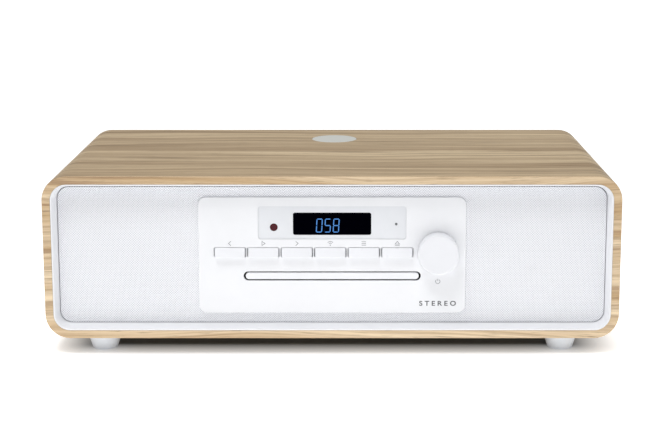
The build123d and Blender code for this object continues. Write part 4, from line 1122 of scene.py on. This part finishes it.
@dataclass
class Legends(Assembly):
    """The fine marks printed on the panel."""

    line: float = 0.44 * MM
    lift: float = 0.05 * MM
    thick: float = 0.12 * MM
    size: float = 1.6 * MM
    above_keys: float = 6.8 * MM
    power_under_knob: float = 22.2 * MM
    word_under_knob: float = 39.0 * MM
    word: str = "STEREO"
    word_high: float = 5.1 * MM
    word_spacing: float = 1.55
    word_bold: float = 0.09 * MM
    word_stretch: float = 1.1

    def build(self) -> None:
        """Prints a mark over each key, one under the knob and a plain word at the corner."""
        front = Span.of("control_panel").low.y - self.lift
        knob = Span.of("volume_knob").middle
        for name, strokes in MARKS.items():
            if name == "power":
                x, z = knob.x, knob.z - self.power_under_knob
            else:
                middle = Span.of(name).middle
                x, z = middle.x, middle.z + self.above_keys
            shape = Shape()
            for stroke in strokes:
                points = [(x + self.size * across, z + self.size * up) for across, up in stroke.points]
                if stroke.filled:
                    shape.prism(points, front, self.thick)
                else:
                    shape.stroke(points, self.line, front, self.thick, stroke.closed)
            shape.piece(f"{name}_legend", self.palette, "legend_ink", smooth=False)
        self._word(knob.x, knob.z - self.word_under_knob, front)

    def _word(self, x: float, z: float, front: float) -> None:
        """Prints the plain word at the panel's corner.

        Args:
            x: The word's middle.
            z: Its middle height.
            front: Where its face stands.
        """
        curve = bpy.data.curves.new("word", "FONT")
        curve.body = self.word
        curve.size = self.word_high
        curve.space_character = self.word_spacing
        curve.align_x, curve.align_y = "CENTER", "CENTER"
        curve.extrude = self.thick / 2
        curve.offset = self.word_bold
        maker = placed("word", curve)
        flat = bpy.data.meshes.new_from_object(maker.evaluated_get(bpy.context.evaluated_depsgraph_get()))
        bpy.data.objects.remove(maker)
        word = Shape()
        word.mesh.from_mesh(flat)
        stand = Matrix.Translation((x, front + self.thick / 2, z)) @ Matrix.Rotation(math.radians(90), 4, "X")
        stretch = Matrix.Diagonal((self.word_stretch, 1.0, 1.0, 1.0))
        bmesh.ops.transform(word.mesh, matrix=stand @ stretch, verts=word.mesh.verts)
        word.piece("corner_word", self.palette, "dark_ink", smooth=False)


@dataclass
class Display(Assembly):
    """The three segment digits in the display's window, and the window's rounded corners."""

    digits: str = "058"
    wide: float = 4.6 * MM
    high: float = 10.4 * MM
    pitch: float = 6.15 * MM
    line: float = 0.7 * MM
    slant: float = 0.06
    left: float = 3.2 * MM
    down: float = 1.3 * MM
    gap: float = 0.12 * MM
    lift: float = 0.04 * MM
    thick: float = 0.06 * MM
    corner: float = 1.3 * MM
    corner_lift: float = 0.06 * MM
    corner_thick: float = 0.1 * MM

    def build(self) -> None:
        """Builds the corners, the lit segments and the faint ones that aren't lit."""
        lens = Span.of("display_lens")
        self._corners(lens)
        lit, dark = Shape(), Shape()
        first, middle_z = lens.middle.x - self.left - self.pitch, lens.middle.z - self.down
        for index, digit in enumerate(self.digits):
            for name, ends in self._segments().items():
                target = lit if name in LIT_SEGMENTS[digit] else dark
                points = [(first + index * self.pitch + x + z * self.slant, middle_z + z) for x, z in ends]
                self._segment(target, points, lens.low.y - self.lift)
        lit.piece("display_digits", self.palette, "lit_segment", smooth=False)
        dark.piece("display_dark_segments", self.palette, "unlit_segment", smooth=False)

    def _corners(self, lens: Span) -> None:
        """Rounds the window's corners with four small fillets of the bezel.

        Args:
            lens: The window.
        """
        fillets = Shape()
        bend, front = self.corner, lens.low.y - self.corner_lift
        bent = arc((-bend, -bend), bend, 0, 90, 7)
        for side_x, side_z in ((-1, -1), (-1, 1), (1, -1), (1, 1)):
            x, z = lens.middle.x + side_x * lens.size.x / 2, lens.middle.z + side_z * lens.size.z / 2
            curve = [(x + side_x * across, z + side_z * up) for across, up in bent]
            fillets.prism([(x, z)] + curve, front, self.corner_thick)
        fillets.piece("window_corner_fillets", self.palette, "bezel_plastic", smooth=False)

    def _segments(self) -> dict[str, tuple[Point, Point]]:
        """Gives each segment's two ends about the digit's centre."""
        x, z = self.wide / 2 - self.line / 2, self.high / 2 - self.line / 2
        return {
            "a": ((-x, z), (x, z)), "b": ((x, z), (x, 0)), "c": ((x, 0), (x, -z)),
            "d": ((-x, -z), (x, -z)), "e": ((-x, 0), (-x, -z)), "f": ((-x, z), (-x, 0)),
            "g": ((-x, 0), (x, 0)),
        }

    def _segment(self, shape: Shape, ends: Sequence[Point], front: float) -> None:
        """Adds one segment with pointed ends.

        Args:
            shape: The mesh that gets it.
            ends: Its two ends.
            front: Where its face stands.
        """
        a, b = Vector(ends[0]), Vector(ends[1])
        way = (b - a).normalized()
        side = Vector((-way.y, way.x)) * self.line / 2
        tip = way * self.line / 2
        a, b = a + way * self.gap, b - way * self.gap
        outline = [a, a + tip + side, b - tip + side, b, b - tip - side, a + tip - side]
        shape.prism([(p.x, p.y) for p in outline], front, self.thick)


@dataclass
class Knob(Assembly):
    """The volume knob, turned with a soft edge and a shallow dish."""

    edge: float = 1.3 * MM
    dish: float = 0.25 * MM
    dish_flat: float = 0.72
    dish_lip: float = 0.82
    back_edge: float = 0.5 * MM
    back_cut: float = 0.15 * MM
    wall: float = 2 * MM
    hollow: float = 4.8 * MM
    hub_r: float = 5.5 * MM
    bore_r: float = 3.05 * MM
    bore: float = 6 * MM

    def build(self) -> None:
        """Builds the knob in place of the plain one."""
        box = Span.of("volume_knob")
        radius, long = box.size.x / 2, box.size.y
        inside, floor = radius - self.wall, long - self.hollow
        outline = [(self.dish, 0.0), (self.dish, radius * self.dish_flat)]
        outline += [(self.dish * 0.5, radius * self.dish_lip)] + soft_rim(radius, self.edge)
        outline += [
            (long - self.back_edge, radius), (long - self.back_cut, radius - self.back_cut),
            (long, radius - self.back_edge), (long, inside), (floor, inside), (floor, self.hub_r),
            (long, self.hub_r), (long, self.bore_r), (long - self.bore, self.bore_r), (long - self.bore, 0.0),
        ]
        shape = Shape()
        shape.turned(outline, Vector((box.middle.x, box.low.y, box.middle.z)), BACKWARDS, 96)
        piece = shape.piece("volume_knob_turned", self.palette, "knob_plastic", "knob")
        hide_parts("volume_knob")


@dataclass
class Feet(Assembly):
    """The four tapered feet with their soft lower edge."""

    edge: float = 1.0 * MM
    top_r: float = 13.0 * MM
    low_r: float = 9.5 * MM
    hole_r: float = 3.4 * MM
    shank_r: float = 2.0 * MM
    seat: float = 4.0 * MM
    cut: float = 0.3 * MM
    top_cut: float = 0.4 * MM

    def build(self) -> None:
        """Builds the feet in place of the plain ones."""
        box = Span.of("feet")
        top, top_r, hole_r, seat, cut = box.high.z, self.top_r, self.hole_r, self.seat, self.cut
        outline = [(seat, self.shank_r), (seat, hole_r), (cut, hole_r), (0.0, hole_r + cut)]
        outline += soft_rim(self.low_r, self.edge)
        outline += [(top - self.top_cut, top_r), (top, top_r - cut), (top, self.shank_r), outline[0]]
        shape = Shape()
        for x in (box.low.x + top_r, box.high.x - top_r):
            for y in (box.low.y + top_r, box.high.y - top_r):
                shape.turned(outline, Vector((x, y, 0)), UPWARDS)
        piece = shape.piece("feet_turned", self.palette, "foot_plastic")
        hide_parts("feet")


@dataclass
class Rear(Assembly):
    """The small metal and cross-head details of the back."""

    nut_bore_r: float = 1.85 * MM
    nut_r: float = 2.95 * MM
    nut_proud: float = 0.25 * MM
    nut_deep: float = 1.4 * MM
    pin_apart: float = 9.8 * MM
    pin_sunk: float = 15.2 * MM
    pin_r: float = 1.2 * MM
    pin_tip_r: float = 0.9 * MM
    pin_long: float = 10.5 * MM
    tip_from: float = 9.8 * MM
    tip_to: float = 10.3 * MM
    screw_head_r: float = 2.4 * MM
    screws_up: float = 30 * MM
    screws_out: float = 100 * MM
    cross: tuple[float, float, float] = (1.5 * MM, 0.03 * MM, 0.3 * MM)

    def build(self) -> None:
        """Builds the jack's rim, the inlet's contacts and the screws' crosses, which are painted shade."""
        jack, inlet = Span.of("aux_jack"), Span.of("mains_inlet")
        lip, bore_r, nut_r = self.nut_proud, self.nut_bore_r, self.nut_r
        nut = [(0, bore_r), (lip, bore_r + lip), (lip, nut_r - lip), (0, nut_r)]
        nut += [(-self.nut_deep, nut_r), (-self.nut_deep, bore_r), nut[0]]
        rims = Shape()
        rims.turned(nut, Vector((jack.middle.x, jack.high.y, jack.middle.z)), BACKWARDS, 48)
        rims.piece("aux_jack_rim", self.palette, "steel")
        pin = [(0, 0), (0, self.pin_r), (self.tip_from, self.pin_r)]
        pin += [(self.tip_to, self.pin_tip_r), (self.pin_long, 0)]
        pins = Shape()
        for side in (-0.5, 0.5):
            x = inlet.middle.x + side * self.pin_apart
            pins.turned(pin, Vector((x, inlet.high.y - self.pin_sunk, inlet.middle.z)), BACKWARDS, 24)
        pins.piece("mains_inlet_contacts", self.palette, "steel")
        self._painted_cross_shade()

    def _painted_cross_shade(self) -> None:
        """Lays a dark cross on each rear screw's head, as painted shade for its cross recess."""
        crosses = Shape()
        panel, screws = Span.of("rear_panel"), Span.of("rear_screws")
        side_x = screws.high.x - self.screw_head_r
        side_z = screws.high.z - panel.middle.z - self.screw_head_r
        places = [(x, z) for x in (-side_x, side_x) for z in (-self.screws_up, self.screws_up)]
        places += [(x, z) for x in (-self.screws_out, self.screws_out) for z in (-side_z, side_z)]
        long_way = Vector(self.cross)
        for x, z in places:
            middle = Vector((x, screws.high.y, panel.middle.z + z))
            for reach in (long_way, long_way.zyx):
                # Each cross is a thin dark slab on the head, painted shade standing in for the recess.
                crosses.slab(middle - reach, middle + reach)
        crosses.piece("rear_screw_cross_shade", self.palette, "black_plastic", smooth=False)


@dataclass(frozen=True)
class Lamp:
    """A soft square lamp: where it hangs, its side in metres and its power in watts."""

    name: str
    place: tuple[float, float, float]
    size: float
    power: float


@dataclass
class Studio:
    """The pale floor with its painted shadow and painted pool of light, the soft light and the camera."""

    lens: float = 80.229
    place: tuple[float, float, float] = (0.01361, -1.16254, 0.33567)
    tilt: float = 9.4776
    shift: tuple[float, float] = (-0.02352, -0.11642)
    lamps: tuple[Lamp, ...] = (
        Lamp("key", (-0.5, -1.0, 2.4), 0.8, 33.0),
        Lamp("side", (1.9, -1.3, 0.8), 1.2, 1.8),
    )
    lamps_face: tuple[float, float, float] = (0, 0, 0.06)
    sky: float = 0.36
    floor_size: float = 6.0
    # The floor under the object is painted dark as its contact shadow, which fades to the floor's own white
    # just past the footprint.
    floor_painted_shadow: Colour = (0.2, 0.22, 0.25, 1.0)
    floor_open: Colour = (0.9, 0.9, 0.9, 1.0)
    under_x: float = 0.178
    under_y: float = 0.078
    painted_shadow_fade: float = 0.045
    # The floor glows most next to the object, a painted pool of light that brightens its bottom and feet; the
    # emission dips further out and rises again to an even white backdrop.
    painted_pool_near: float = 0.93
    painted_pool_and_backdrop_steps: tuple[tuple[float, float, float], ...] = ((0.05, 0.3, -0.33), (0.6, 1.8, 0.4))

    def build(self) -> None:
        """Builds everything that isn't the object."""
        self._floor()
        self._world()
        for lamp in self.lamps:
            self._light(lamp)
        self._camera()
        bpy.context.scene.view_settings.view_transform = "Standard"

    def _floor(self) -> None:
        """Lays the floor, with a painted contact shadow under the object, glowing beyond it and most of all
        near the object, as a painted pool of light.
        """
        mesh = bmesh.new()
        bmesh.ops.create_grid(mesh, x_segments=1, y_segments=1, size=self.floor_size)
        data = bpy.data.meshes.new("floor")
        mesh.to_mesh(data)
        mesh.free()
        paint = Paint("floor_paper")
        tree = paint.tree
        x, y, _ = tree.split(paint.place)
        out_x = tree.beyond(tree.math("ABSOLUTE", x), self.under_x)
        out_y = tree.beyond(tree.math("ABSOLUTE", y), self.under_y)
        feeds = {0: tree.join(out_x, out_y, 0.0)}
        away = tree.add("ShaderNodeVectorMath", feeds, operation="LENGTH").outputs["Value"]
        past_painted_shadow = tree.band(away, 0.0, self.painted_shadow_fade)
        # No emission under the object; beyond it, a painted pool of light close by and an even backdrop far
        # off.
        painted_pool_and_backdrop: Feed = self.painted_pool_near
        for start, end, change in self.painted_pool_and_backdrop_steps:
            painted_pool_and_backdrop = tree.line(tree.band(away, start, end), change, painted_pool_and_backdrop)
        # Painted contact shadow: dark under the footprint, white beyond it.
        colour = tree.mix(past_painted_shadow, self.floor_painted_shadow, self.floor_open)
        paint.show(Base_Color=colour, Roughness=0.9)
        paint.show(Emission_Color=WHITE, Emission_Strength=tree.times(past_painted_shadow, painted_pool_and_backdrop))
        data.materials.append(paint.material)
        floor = placed("floor", data)

    def _world(self) -> None:
        """Lights the scene evenly from all round."""
        world = bpy.data.worlds.new("studio")
        world.use_nodes = True
        sky = world.node_tree.nodes["Background"]
        sky.inputs["Color"].default_value = WHITE
        sky.inputs["Strength"].default_value = self.sky
        bpy.context.scene.world = world

    def _light(self, lamp: Lamp) -> None:
        """Hangs a lamp that looks at the object.

        Args:
            lamp: The lamp.
        """
        data = bpy.data.lights.new(lamp.name, "AREA")
        data.size = lamp.size
        data.energy = lamp.power
        thing = placed(lamp.name, data)
        thing.location = lamp.place
        facing = Vector(self.lamps_face) - Vector(lamp.place)
        thing.rotation_euler = facing.to_track_quat("-Z", "Y").to_euler()

    def _camera(self) -> None:
        """Sets the camera up."""
        data = bpy.data.cameras.new("camera")
        data.lens = self.lens
        data.shift_x, data.shift_y = self.shift
        camera = placed("camera", data)
        camera.location = self.place
        camera.rotation_euler = (math.radians(90 - self.tilt), 0.0, 0.0)
        bpy.context.scene.camera = camera


def main() -> None:
    """Builds the scene."""
    logging.basicConfig(level=logging.INFO, format="%(name)s: %(message)s")
    palette = Palette()
    palette.dress_nodes()
    Studio().build()
    for assembly in (Grille, Keys, Legends, Display, Knob, Feet, Rear):
        assembly(palette).build()


if __name__ == "__main__":
    main()
